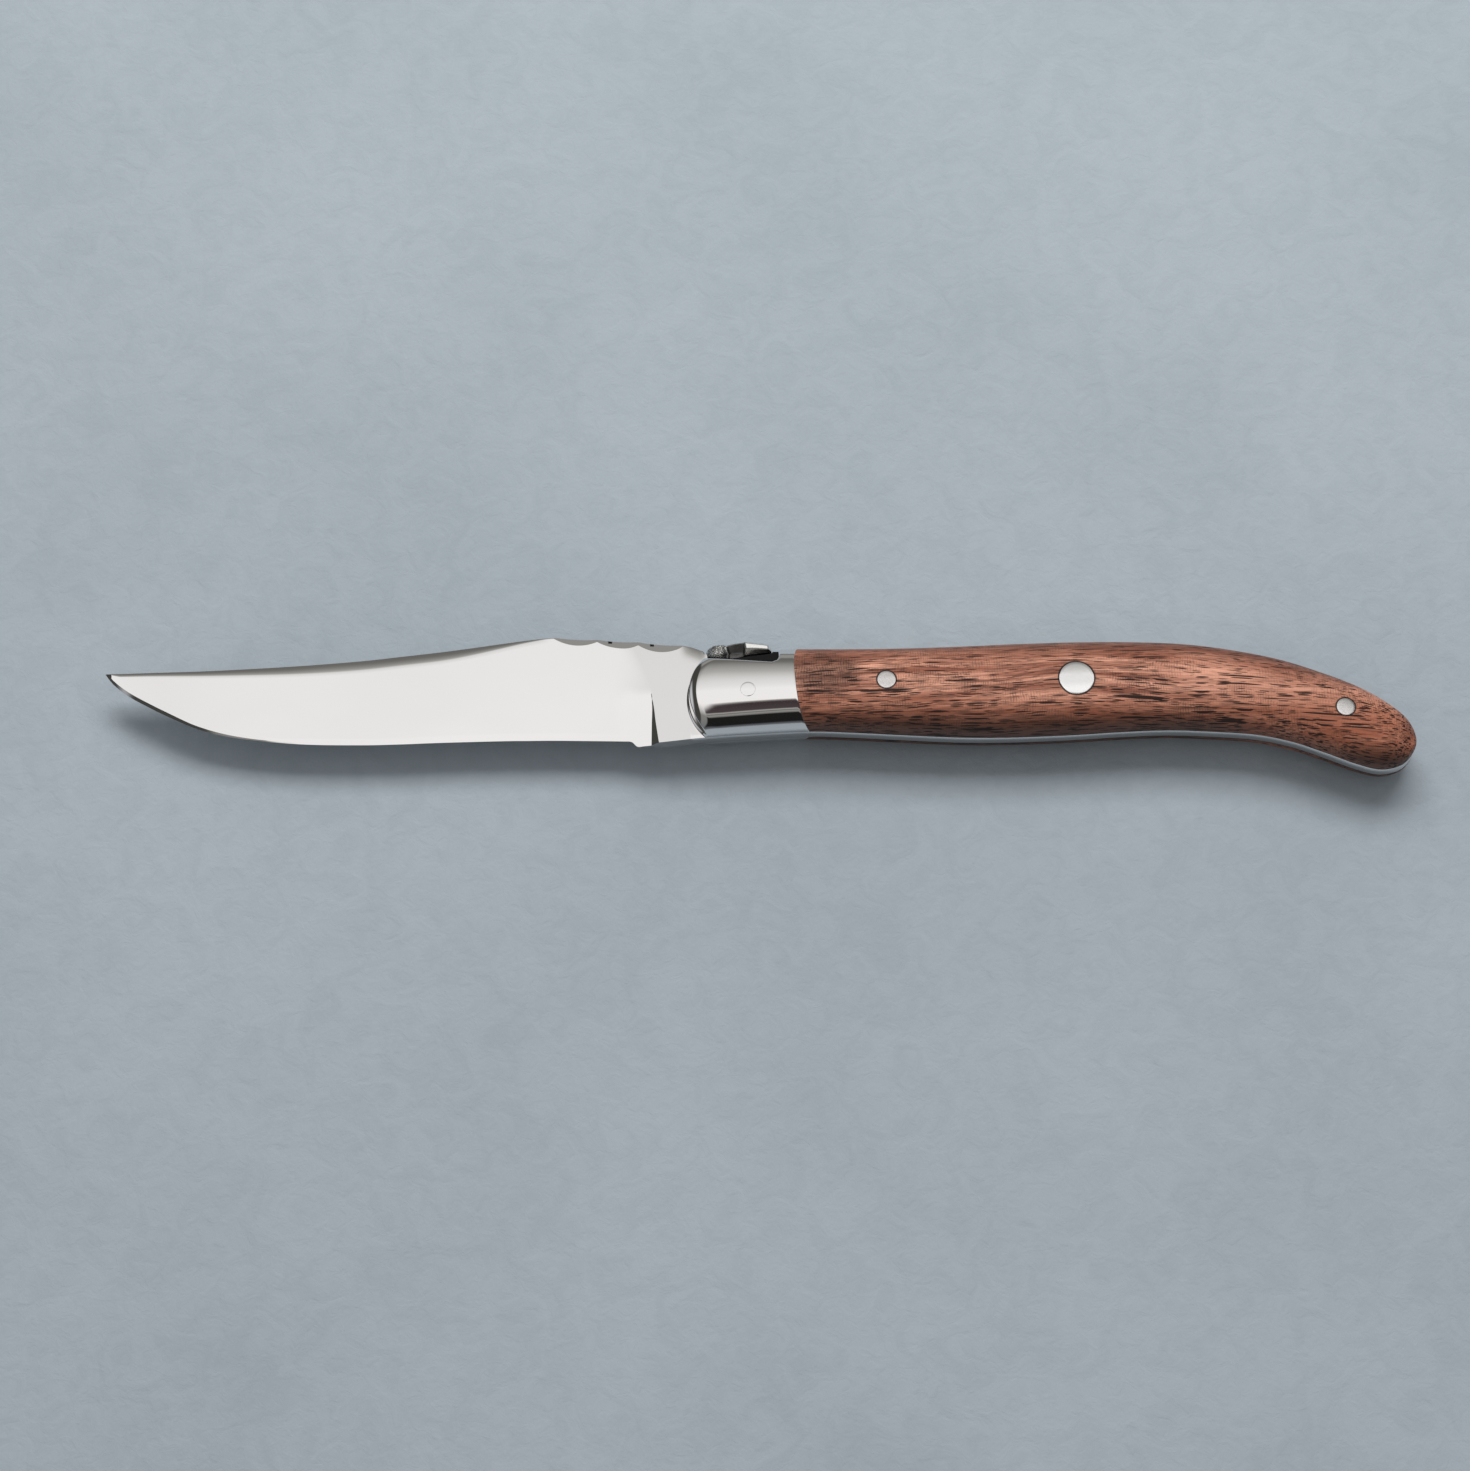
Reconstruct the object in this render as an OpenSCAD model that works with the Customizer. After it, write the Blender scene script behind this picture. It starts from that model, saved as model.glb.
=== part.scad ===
// Fixed blade steak knife with a full tang, steel bolsters and wooden scales.
// The knife lies on its left side: X runs from tip to butt, Y from edge to spine, Z through the thickness.
// Every outline is a smooth curve through a few stations, each written in shares of the sizes below.

/* [Overall] */
// Length of the blade, from its tip to the bolster
blade_len = 102.5; // [85:0.5:120]
// Length of the handle, from the front of the bolster to the butt
handle_len = 127.5; // [105:0.5:150]
// Thickness of the steel that makes blade and tang in one piece
stock_t = 2.5; // [1.8:0.1:3.2]

/* [Blade] */
// Width of the blade at its highest point, from spine to edge
blade_w = 19.3; // [15:0.1:24]
// Thickness of the spine close behind the tip
tip_t = 0.9; // [0.5:0.1:1.5]
// Thickness of the steel behind the sharpened edge
edge_t = 0.4; // [0.2:0.05:0.8]
// Width of the sharpened bevel
bevel_w = 0.7; // [0.3:0.1:1.5]
// Width of the false edge ground along the spine
swedge_w = 1.6; // [0.6:0.1:2.4]
// Length of the flat ricasso between the grind and the bolster
ricasso_len = 5; // [4:0.1:6]
// Steel that polishing takes off each side of the ricasso, ahead of the bolster
polish_depth = 0.05; // [0.02:0.01:0.1]
// Length of the steep ramp that ends the grind
plunge_len = 1.6; // [0.8:0.1:2.4]

/* [File work on the spine] */
// Scallops filed in each side of the spine
scallop_count = 3; // [1:1:3]
// Distance from one scallop to the next
scallop_pitch = 7.4; // [5:0.1:8]
// Distance from the middle of the last scallop to the bolster
scallop_lead = 4.4; // [4:0.1:8]
// Half of the length that one scallop takes out of the edge of the spine
scallop_reach = 4.3; // [3:0.1:5]
// Depth of a scallop down the side of the blade
scallop_drop = 1.5; // [0.6:0.1:2]
// Depth of a scallop across the top of the spine
scallop_bite = 0.75; // [0.4:0.05:0.9]
// Diameter of the round file that cuts the small notches
notch_d = 0.8; // [0.4:0.1:1.4]
// Distance of a notch ahead of the middle of its scallop
notch_lead = 1.8; // [0:0.1:3]

/* [Handle] */
// Height of the handle at its swell, from belly to spine
handle_h = 17.3; // [14:0.1:21]
// Greatest thickness of one scale outside the tang
side_t = 5.3; // [4:0.1:7]
// Roundness of the handle's cross section, 2 for an ellipse and more for a squarer side
section_power = 2.3; // [2:0.1:3]

/* [Bolster] */
// Length of the bolster at the tang
bolster_len = 20.8; // [17:0.1:26]
// Radius of the bolster's round front, seen from the side
front_r = 9.4; // [8.9:0.1:12]
// Setback of the bolster's front wall from its foot to its top
front_setback = 1.3; // [0.4:0.1:2]
// Height of the bead along the foot of the front wall
bead_h = 0.5; // [0.2:0.1:1]
// Slant of the joint between bolster and scale, from the tang outward, in degrees
joint_slant = 18.8; // [0:0.1:25]
// Lean of that joint seen from the side, in degrees
joint_lean = 5.6; // [0:0.1:10]

/* [Spine cap] */
// Length of the cap on the spine
cap_len = 11.5; // [9:0.1:12]
// Width of the cap across its wings
cap_w = 6.6; // [4.5:0.1:8]
// Height of the cap from its seat to its crown
cap_h = 3.7; // [2.5:0.1:5]
// Distance from the front of the bolster to the front of the cap
cap_lead = 3.4; // [3.1:0.1:4.5]
// Height of the seat under the cap's head above the middle of the tang
seat_h = 7.35; // [6:0.05:8]
// Room left between the blade's shoulder and the cap
cap_gap = 0.4; // [0.2:0.1:0.8]
// Room left behind the cap in the pocket of the bolster
pocket_room = 1.2; // [0.6:0.1:2.5]
// Height of the pocket's floor at the front, above the middle of the tang
pocket_front_h = 6.3; // [4.5:0.1:7]
// Fall of the pocket's floor toward the rear
pocket_fall = 1.3; // [0:0.1:2]
// Radius of the pocket's rear corner
pocket_r = 1.2; // [0.4:0.1:2]

/* [Pins and rivet] */
// Diameter of the two pins that hold the scales
pin_d = 3.3; // [2:0.1:4.5]
// Diameter of the pin that holds the bolsters
bolster_pin_d = 2.6; // [2:0.1:4]
// Diameter of the heads of the middle rivet
rivet_head_d = 6.2; // [5:0.1:8]
// Thickness of each rivet head at the middle of the handle's side
rivet_head_t = 2.4; // [1.5:0.1:3]
// Outer diameter of the rivet's tube
rivet_tube_d = 3.8; // [3:0.1:4.5]
// Diameter of the rivet's solid shank
rivet_shank_d = 2.2; // [1.5:0.1:2.6]
// Room around a pin, rivet or shank in its hole, on each side
hole_gap = 0.02; // [0:0.01:0.1]

/* [Hidden] */
$fn = 48;
// How far a cut runs past the surface that it goes through
overrun = 2;
// Curve steps between two neighbouring stations
blade_steps = 3;
handle_steps = 3;
// Facets around one side of the handle, an odd count that leaves a flat on the crown
section_steps = 15;
// Flat lines along one side of the blade between the false edge and the sharpened bevel
grind_steps = 4;
corner_steps = 6;

half_stock = stock_t / 2;
ricasso_half = half_stock - polish_depth;
wood_len = handle_len - bolster_len;
joint_x = blade_len + bolster_len;

// Blade stations: place along the blade, spine and edge, in shares of blade_len and blade_w.
// The first is the tip, the last two lie in the flat ricasso.
blade_shares = [
    [0, 0.255, 0.255],
    [0.016, 0.26, 0.15],
    [0.042, 0.264, 0.041],
    [0.075, 0.27, -0.06],
    [0.117, 0.277, -0.174],
    [0.168, 0.287, -0.29],
    [0.234, 0.306, -0.373],
    [0.338, 0.342, -0.43],
    [0.441, 0.389, -0.44],
    [0.51, 0.433, -0.432],
    [0.578, 0.477, -0.417],
    [0.681, 0.55, -0.401],
    [0.73, 0.583, -0.398],
    [0.775, 0.6, -0.396],
    [0.852, 0.58, -0.4],
    [0.89, 0.568, -0.403],
    [0.906, 0.562, -0.41],
    [0.916, 0.558, -0.455],
    [0.93, 0.552, -0.45],
    [0.972, 0.533, -0.425],
    [1.006, 0.513, -0.403]
];
// Handle stations: place and height of the spine, place and height of the belly, and thickness.
// Places are shares of bolster_len up to the joint and of wood_len behind it.
bolster_shares = [
    [-0.072, 0.514, -0.072, -0.457, 0.9],
    [0.169, 0.512, 0.169, -0.431, 0.93],
    [0.53, 0.509, 0.53, -0.4, 0.96],
    [1, 0.509, 1, -0.371, 0.985]
];
wood_shares = [
    [0.073, 0.509, 0.073, -0.384, 0.99],
    [0.157, 0.516, 0.157, -0.41, 1],
    [0.251, 0.538, 0.251, -0.436, 1],
    [0.344, 0.566, 0.335, -0.436, 1],
    [0.447, 0.587, 0.429, -0.413, 1],
    [0.541, 0.587, 0.513, -0.379, 1],
    [0.625, 0.564, 0.593, -0.358, 1],
    [0.705, 0.497, 0.667, -0.373, 0.99],
    [0.78, 0.396, 0.738, -0.405, 0.975],
    [0.848, 0.254, 0.797, -0.483, 0.95],
    [0.911, 0.09, 0.85, -0.601, 0.91],
    [0.957, -0.087, 0.9, -0.723, 0.84],
    [0.985, -0.243, 0.94, -0.783, 0.72],
    [0.998, -0.405, 0.975, -0.728, 0.48],
    [0.996, -0.572, 0.996, -0.572, 0]
];
// Cap stations: place, underside, side edge and crown, then half widths of side edge and crown,
// in shares of cap_len, cap_h and cap_w
cap_shares = [
    [0, 0.15, 0.25, 0.4, 0.18, 0.09],
    [0.04, 0.05, 0.34, 0.58, 0.29, 0.14],
    [0.12, 0.01, 0.42, 0.74, 0.36, 0.15],
    [0.23, 0, 0.42, 0.79, 0.36, 0.13],
    [0.32, 0.01, 0.3, 0.76, 0.3, 0.07],
    [0.41, 0.05, 0.3, 0.83, 0.36, 0.06],
    [0.67, 0.2, 0.37, 1, 0.5, 0.045],
    [0.93, 0.31, 0.45, 0.88, 0.4, 0.07],
    [1, 0.35, 0.45, 0.6, 0.23, 0.09]
];
// Rounded shoulder that ends the spine ahead of the cap: shares of the way forward from its foot
// to the last blade station and of the way up
shoulder_shares = [[0.56, 0.88], [0.2, 0.62], [0, 0.25]];
// Places of the pins: shares of bolster_len or wood_len, and of handle_h
bolster_pin_shares = [0.515, -0.023];
front_pin_shares = [0.132, 0.078];
rivet_shares = [0.443, 0.096];
rear_pin_shares = [0.881, -0.208];
// Where the false edge begins, is widest and ends, as shares of blade_len
swedge_shares = [0, 0.3, 0.77];
// Part of the spine's half thickness that the false edge takes away
swedge_cut_share = 0.6;
// How far the plunge line leans forward at the spine, as a share of ricasso_len
plunge_lean_share = 0.55;

// A curve through all stations at place t, counted in stations
function clamped(rows, i) = rows[max(0, min(len(rows) - 1, i))];
function curve_at(rows, t) =
    let (
        i = min(floor(t), len(rows) - 2),
        f = t - i,
        p0 = clamped(rows, i - 1),
        p1 = rows[i],
        p2 = rows[i + 1],
        p3 = clamped(rows, i + 2)
    )
    p1 + 0.5 * f * (p2 - p0 + f * (2 * p0 - 5 * p1 + 4 * p2 - p3 + f * (3 * (p1 - p2) + p3 - p0)));
function mix(a, b, f) = a + (b - a) * f;
function unit_step(f) = let (g = max(0, min(1, f))) g * g * (3 - 2 * g);
function rounded_power(a, p) = sign(a) * pow(abs(a), p);

// Blade sections, from the stations in real sizes
blade_rows = [for (s = blade_shares) [s.x * blade_len, s.y * blade_w, s.z * blade_w]];
ground_last = len(blade_rows) - 2;
// The last section stands inside the tang, which it is joined to
blade_places = [for (k = [1 : ground_last * blade_steps + 1]) k / blade_steps];

// Half thickness of the spine at x, tapered toward the tip
function spine_half(x) =
    mix(tip_t / 2, ricasso_half, min(1, pow(x / (blade_len - ricasso_len), 0.6)));
// Width of the false edge at x
function swedge_at(x) =
    let (f = x / blade_len)
    swedge_w * (f < swedge_shares[1]
        ? mix(0.3, 1, unit_step((f - swedge_shares[0]) / (swedge_shares[1] - swedge_shares[0])))
        : unit_step((swedge_shares[2] - f) / (swedge_shares[2] - swedge_shares[1])));
// Full thickness is back where the plunge ends; v is 0 at the spine and 1 at the edge
function plunge_at(x, v) =
    let (end_x = blade_len - ricasso_len - plunge_lean_share * ricasso_len * pow(1 - v, 2))
    unit_step((x - end_x + plunge_len) / plunge_len);
function ground_half(x, v) = mix(mix(spine_half(x), edge_t / 2, v), ricasso_half, plunge_at(x, v));
function blade_side(t) =
    let (
        row = curve_at(blade_rows, t),
        w = row.y - row.z,
        sw = min(swedge_at(row.x), w / 4),
        bevel = min(bevel_w, w / 4),
        on = swedge_at(row.x) / swedge_w,
        top_half = mix(spine_half(row.x), ricasso_half, plunge_at(row.x, 0)),
        keen = 1 - plunge_at(row.x, 1)
    )
    concat(
        [[row.x, row.y, top_half * (1 - swedge_cut_share * on)]],
        [for (k = [0 : grind_steps])
            let (y = mix(row.y - sw, row.z + bevel, k / grind_steps), v = (row.y - y) / w)
            [row.x, y, ground_half(row.x, v)]],
        [[row.x, row.z, ground_half(row.x, 1) * (1 - 0.8 * keen)]]
    );
function both_sides(side) =
    concat(side, [for (k = [len(side) - 1 : -1 : 0]) [side[k].x, side[k].y, -side[k].z]]);

// Handle sections. A station holds spine x and y, belly x and y, and thickness.
handle_rows = concat(
    [for (s = bolster_shares) [blade_len + s[0] * bolster_len, s[1] * handle_h,
                               blade_len + s[2] * bolster_len, s[3] * handle_h, s[4] * side_t]],
    [for (s = wood_shares) [joint_x + s[0] * wood_len, s[1] * handle_h,
                            joint_x + s[2] * wood_len, s[3] * handle_h, s[4] * side_t]]
);
joint_place = len(bolster_shares) - 1;
butt_place = len(handle_rows) - 1;
// The outline goes along the spine, round the butt and back along the belly
outline_rows = concat(
    [for (r = handle_rows) [r[0], r[1]]],
    [for (k = [butt_place - 1 : -1 : 0]) [handle_rows[k][2], handle_rows[k][3]]]
);
bolster_places = [for (k = [0 : joint_place * handle_steps]) k / handle_steps];
wood_places = concat(
    [for (k = [joint_place * handle_steps : (butt_place - 1) * handle_steps]) k / handle_steps],
    [for (f = [0.35, 0.6, 0.8, 0.93]) butt_place - 1 + f]
);
function spine_point(t) = curve_at(outline_rows, t);
function belly_point(t) = curve_at(outline_rows, 2 * butt_place - t);
function side_at(t) =
    t > butt_place - 1
        ? handle_rows[butt_place - 1][4] * sqrt(max(0, 1 - pow(t - butt_place + 1, 2)))
        : curve_at([for (k = [0 : butt_place - 1]) [handle_rows[k][4]]], t)[0];
// The joint's slant fades out to both sides of it
function slant_at(t) =
    t < joint_place ? t / joint_place : max(0, 1 - (t - joint_place) / joint_place);
function handle_side(t) =
    let (
        top = spine_point(t),
        bottom = belly_point(t),
        middle = (top + bottom) / 2,
        half = (top - bottom) / 2,
        thick = side_at(t)
    )
    [for (k = [0 : section_steps])
        let (
            a = 180 * k / section_steps,
            c = k == 0 ? 1 : k == section_steps ? -1 : rounded_power(cos(a), 2 / section_power),
            rise = k == 0 || k == section_steps ? 0 : thick * pow(sin(a), 2 / section_power),
            y = middle.y + half.y * c
        )
        [middle.x + half.x * c
            - slant_at(t) * (rise * tan(joint_slant) + (y - middle.y) * tan(joint_lean)),
         y, half_stock + rise]];
function butt_point() = [for (c = spine_point(butt_place)) c];

// Outline of the tang, with the rounded shoulder and the seat of the cap
cap_x = blade_len + cap_lead;
cap_rows = [for (s = cap_shares) [cap_x + s[0] * cap_len, seat_h + s[1] * cap_h,
    seat_h + s[2] * cap_h, seat_h + s[3] * cap_h, s[4] * cap_w, s[5] * cap_w]];
shoulder_x = cap_x - cap_gap;
shoulder_top = blade_rows[ground_last + 1];
pocket_x = cap_x + cap_len + pocket_room;
front_start = curve_at(blade_rows, ground_last);
ricasso_line = [for (k = [0 : blade_steps]) curve_at(blade_rows, ground_last + k / blade_steps)];
pocket_place = [for (t = wood_places) if (spine_point(t).x > pocket_x) t][0];
tang_points = concat(
    [for (r = ricasso_line) [r.x, r.y]],
    [for (s = shoulder_shares) [mix(shoulder_x, shoulder_top.x, s.x),
                                mix(seat_h, shoulder_top.y, s.y)]],
    [[shoulder_x, cap_rows[0].y]],
    [for (r = cap_rows) [r.x, r.y]],
    [[pocket_x, spine_point(joint_place).y]],
    [for (t = wood_places) if (t > joint_place) spine_point(t)],
    [spine_point(butt_place)],
    [for (k = [len(wood_places) - 1 : -1 : 1]) belly_point(wood_places[k])],
    [for (k = [len(bolster_places) - 1 : -1 : 0])
        let (p = belly_point(bolster_places[k])) if (p.x > shoulder_top.x + overrun) p],
    [for (k = [blade_steps : -1 : 0]) [ricasso_line[k].x, ricasso_line[k].z]]
);

// Places of the pins, from their shares
function in_bolster(s) = [blade_len + s.x * bolster_len, s.y * handle_h];
function in_wood(s) = [joint_x + s.x * wood_len, s.y * handle_h];
bolster_pin_at = in_bolster(bolster_pin_shares);
front_pin_at = in_wood(front_pin_shares);
rivet_at = in_wood(rivet_shares);
rear_pin_at = in_wood(rear_pin_shares);
rivet_seat_z = half_stock + side_t - rivet_head_t;
// Middle of the bolster's round front
front_at = [blade_len + front_r, bolster_pin_at.y];

// The finished knife stands with its lowest point at zero and its middle over the origin
side_rings = [for (t = concat(bolster_places, wood_places)) handle_side(t)];
half_t = max([for (ring = side_rings) for (p = ring) p.z]);
reach_x = max([for (t = wood_places) max(spine_point(t).x, belly_point(t).x)]);
top_y = max(concat([for (r = blade_rows) r.y], [for (r = cap_rows) r[3]],
                   [for (t = wood_places) spine_point(t).y]));
low_y = min([for (t = wood_places) belly_point(t).y]);
module place() {
    translate([-reach_x / 2, -(top_y + low_y) / 2, half_t]) children();
}

// A closed solid through rings of equally many points, flat at each end or drawn to one point
module loft(rings, head = [], tail = []) {
    n = len(rings[0]);
    last = (len(rings) - 1) * n;
    points = concat([for (ring = rings) for (p = ring) p], head, tail);
    head_at = len(rings) * n;
    tail_at = head_at + len(head);
    sides = [for (i = [0 : len(rings) - 2]) for (j = [0 : n - 1])
        let (a = i * n + j, b = i * n + (j + 1) % n) each [[a, a + n, b + n], [a, b + n, b]]];
    front = len(head) > 0
        ? [for (j = [0 : n - 1]) [head_at, j, (j + 1) % n]]
        : [for (j = [1 : n - 2]) [0, j, j + 1]];
    back = len(tail) > 0
        ? [for (j = [0 : n - 1]) [last + j, tail_at, last + (j + 1) % n]]
        : [for (j = [1 : n - 2]) [last, last + j + 1, last + j]];
    polyhedron(points = points, faces = concat(sides, front, back), convexity = 6);
}

module pin_bore(at, d) {
    translate([at.x, at.y, -half_t - overrun])
        cylinder(h = 2 * (half_t + overrun), d = d + 2 * hole_gap);
}

// One scallop, cut by a round file held across the edge of the spine
module scallop(at) {
    tilt = atan(scallop_bite / scallop_drop);
    depth = scallop_drop * sin(tilt);
    file_r = (scallop_reach * scallop_reach + depth * depth) / (2 * depth);
    translate([at.x, at.y, half_stock])
        rotate([-tilt, 0, 0])
            translate([0, 0, file_r - depth])
                rotate([90, 0, 0])
                    cylinder(h = 2 * (scallop_drop + overrun), r = file_r, center = true, $fn = 128);
}

function spine_y(x) =
    let (t = [for (t = blade_places) if (curve_at(blade_rows, t).x >= x) t][0])
    curve_at(blade_rows, t).y;
module file_work() {
    for (k = [0 : scallop_count - 1]) {
        x = blade_len - scallop_lead - k * scallop_pitch;
        at = [x, spine_y(x)];
        for (side = [0, 1]) mirror([0, 0, side]) scallop(at);
        if (k < scallop_count - 1)
            translate([x - notch_lead, spine_y(x - notch_lead), 0])
                cylinder(h = stock_t + overrun, d = notch_d, center = true);
    }
}

// What polishing takes off the upper side of the ricasso, up to the foot of the bolster's front
module ricasso_polish() {
    translate([front_at.x, front_at.y, ricasso_half]) linear_extrude(overrun) difference() {
        translate([-front_r - ricasso_len, -handle_h]) square([front_r + ricasso_len, 2 * handle_h]);
        circle(r = front_r, $fn = 96);
    }
}

module blade() {
    color("gainsboro") place() difference() {
        union() {
            loft([for (t = blade_places) both_sides(blade_side(t))],
                 head = [[blade_rows[0].x, blade_rows[0].y, 0]]);
            difference() {
                translate([0, 0, -half_stock]) linear_extrude(stock_t) polygon(tang_points);
                for (side = [0, 1]) mirror([0, 0, side]) ricasso_polish();
            }
        }
        file_work();
        pin_bore(bolster_pin_at, bolster_pin_d);
        pin_bore(front_pin_at, pin_d);
        pin_bore(rivet_at, rivet_tube_d);
        pin_bore(rear_pin_at, pin_d);
    }
}

module spine_cap() {
    color("silver") place()
        loft([for (r = cap_rows)
            [[r[0], r[3], r[5]], [r[0], r[2], r[4]], [r[0], r[1], r[4] * 0.9],
             [r[0], r[1], -r[4] * 0.9], [r[0], r[2], -r[4]], [r[0], r[3], -r[5]]]]);
}

// What the round front takes away from the bolster
module bolster_front() {
    translate([front_at.x, front_at.y, 0]) difference() {
        translate([-front_r - overrun, -handle_h, 0]) cube([front_r + overrun, 2 * handle_h, half_t + overrun]);
        rotate_extrude($fn = 96) polygon([
            [0, -overrun],
            [front_r, -overrun],
            [front_r, half_stock + bead_h],
            [front_r - front_setback / 2, half_stock + 2 * bead_h],
            [front_r - front_setback, half_t],
            [front_r - front_setback, half_t + 2 * overrun],
            [0, half_t + 2 * overrun]
        ]);
    }
}

// The room for the cap, with a sloping floor and a rounded rear corner
module cap_pocket() {
    floor_front = [blade_len, pocket_front_h];
    floor_rear = [pocket_x - pocket_r, pocket_front_h - pocket_fall];
    corner = [for (k = [0 : corner_steps]) floor_rear
        + pocket_r * [sin(90 * k / corner_steps), 1 - cos(90 * k / corner_steps)]];
    translate([0, 0, -overrun]) linear_extrude(half_t + 2 * overrun)
        polygon(concat([floor_front - [overrun, 0]], corner,
                       [[pocket_x, handle_h], [blade_len - overrun, handle_h]]));
}

module bolster() {
    difference() {
        loft([for (t = bolster_places) handle_side(t)]);
        bolster_front();
        cap_pocket();
        pin_bore(bolster_pin_at, bolster_pin_d);
    }
}

module bolster_left() {
    color("lightgray") place() mirror([0, 0, 1]) bolster();
}

module bolster_right() {
    color("lightgray") place() bolster();
}

module scale() {
    difference() {
        loft([for (t = wood_places) handle_side(t)],
             tail = [concat(butt_point(), half_stock)]);
        pin_bore(front_pin_at, pin_d);
        pin_bore(rear_pin_at, pin_d);
        pin_bore(rivet_at, rivet_tube_d);
        translate([rivet_at.x, rivet_at.y, rivet_seat_z])
            cylinder(h = rivet_head_t + overrun, d = rivet_head_d + 2 * hole_gap);
    }
}

module scale_left() {
    color("sienna") place() mirror([0, 0, 1]) scale();
}

module scale_right() {
    color("sienna") place() scale();
}

// The handle's own skin around one pin, which its ends are ground down to
module skin_around(at, d) {
    places = concat(bolster_places, [for (t = wood_places) if (t > joint_place) t]);
    near = [for (t = places) if (abs(spine_point(t).x - at.x) < 4 * d) t];
    loft([for (t = near) both_sides(handle_side(t))]);
}

module ground_pin(at, d) {
    intersection() {
        translate([at.x, at.y, -half_t - overrun]) cylinder(h = 2 * (half_t + overrun), d = d);
        skin_around(at, d);
    }
}

module bolster_pin() {
    color("whitesmoke") place() ground_pin(bolster_pin_at, bolster_pin_d);
}

module front_pin() {
    color("whitesmoke") place() ground_pin(front_pin_at, pin_d);
}

module rear_pin() {
    color("whitesmoke") place() ground_pin(rear_pin_at, pin_d);
}

module rivet_head() {
    intersection() {
        translate([rivet_at.x, rivet_at.y, rivet_seat_z])
            cylinder(h = rivet_head_t + overrun, d = rivet_head_d);
        skin_around(rivet_at, rivet_head_d);
    }
}

module rivet_male() {
    color("white") place() union() {
        rivet_head();
        translate([rivet_at.x, rivet_at.y, -rivet_seat_z])
            cylinder(h = 2 * rivet_seat_z + rivet_head_t / 2, d = rivet_shank_d);
    }
}

module rivet_female() {
    color("white") place() union() {
        mirror([0, 0, 1]) rivet_head();
        translate([rivet_at.x, rivet_at.y, 0]) difference() {
            translate([0, 0, -rivet_seat_z - rivet_head_t / 2])
                cylinder(h = 2 * rivet_seat_z + rivet_head_t / 2, d = rivet_tube_d);
            translate([0, 0, -rivet_seat_z])
                cylinder(h = 2 * rivet_seat_z + overrun, d = rivet_shank_d + 2 * hole_gap);
        }
    }
}

blade();
spine_cap();
bolster_left();
bolster_right();
bolster_pin();
scale_left();
scale_right();
front_pin();
rivet_male();
rivet_female();
rear_pin();
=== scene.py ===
"""Looks of a full tang steak knife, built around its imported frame.

Every piece stands in the place of one node of the frame. Sizes are in millimetres, counted from
the knife's tip, its mid height and the middle of its tang, and Bench turns them into the frame's metres.
"""

import logging
import math
from collections.abc import Callable, Sequence
from dataclasses import dataclass
from enum import Enum
from typing import ClassVar

import bmesh
import bpy
from mathutils import Matrix, Vector, noise


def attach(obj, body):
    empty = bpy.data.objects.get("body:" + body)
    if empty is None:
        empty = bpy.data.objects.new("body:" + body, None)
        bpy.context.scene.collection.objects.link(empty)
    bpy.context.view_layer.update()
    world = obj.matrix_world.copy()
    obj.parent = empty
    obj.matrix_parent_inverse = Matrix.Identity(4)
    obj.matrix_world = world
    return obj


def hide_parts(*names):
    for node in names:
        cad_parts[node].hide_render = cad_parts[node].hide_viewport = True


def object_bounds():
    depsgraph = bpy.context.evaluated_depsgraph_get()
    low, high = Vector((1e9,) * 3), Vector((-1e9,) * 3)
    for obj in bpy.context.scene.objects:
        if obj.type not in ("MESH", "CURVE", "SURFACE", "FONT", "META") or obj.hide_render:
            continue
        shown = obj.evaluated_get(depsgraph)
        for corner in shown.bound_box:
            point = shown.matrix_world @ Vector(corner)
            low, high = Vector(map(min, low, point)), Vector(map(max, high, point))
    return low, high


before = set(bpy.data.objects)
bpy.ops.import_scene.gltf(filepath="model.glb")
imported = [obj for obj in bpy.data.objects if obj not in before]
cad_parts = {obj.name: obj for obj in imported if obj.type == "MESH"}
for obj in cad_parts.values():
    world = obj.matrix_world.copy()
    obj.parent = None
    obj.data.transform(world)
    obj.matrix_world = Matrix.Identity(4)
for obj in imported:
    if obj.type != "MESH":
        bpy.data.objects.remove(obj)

log = logging.getLogger("steak_knife")
CAD_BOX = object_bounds()
MM = 0.001
ROOT = "root"
# Points closer than this, in metres, are one point
WELD = 1e-6
# The same for points of a spun mesh, in millimetres
SPIN_WELD = 1e-4
# How many steps the search for a crossing may take, and the miss in millimetres that ends it
SOLVE_ROUNDS = 60
SOLVED = 1e-7

Row = tuple[float, ...]
Rows = tuple[Row, ...]
Colour = tuple[float, float, float]
Socket = bpy.types.NodeSocket


class Side(Enum):
    """The two sides of the knife as it lies."""

    LEFT = -1
    RIGHT = 1


class Slot(Enum):
    """The record's material slots."""

    BLADE = "polished_blade"
    BOLSTER = "polished_bolster"
    CAP = "forged_cap"
    PIN = "ground_pin"
    RIVET = "polished_rivet"
    WOOD = "oiled_wood"


def mix(a: float, b: float, f: float) -> float:
    """Goes from a at f = 0 to b at f = 1."""
    return a + (b - a) * f


def clamp(a: float, low: float = 0.0, high: float = 1.0) -> float:
    """Keeps a between low and high."""
    return max(low, min(high, a))


def smooth(x: float, start: float, end: float) -> float:
    """Goes smoothly from 0 where x is start to 1 where it is end."""
    g = clamp((x - start) / (end - start))
    return g * g * (3 - 2 * g)


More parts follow.
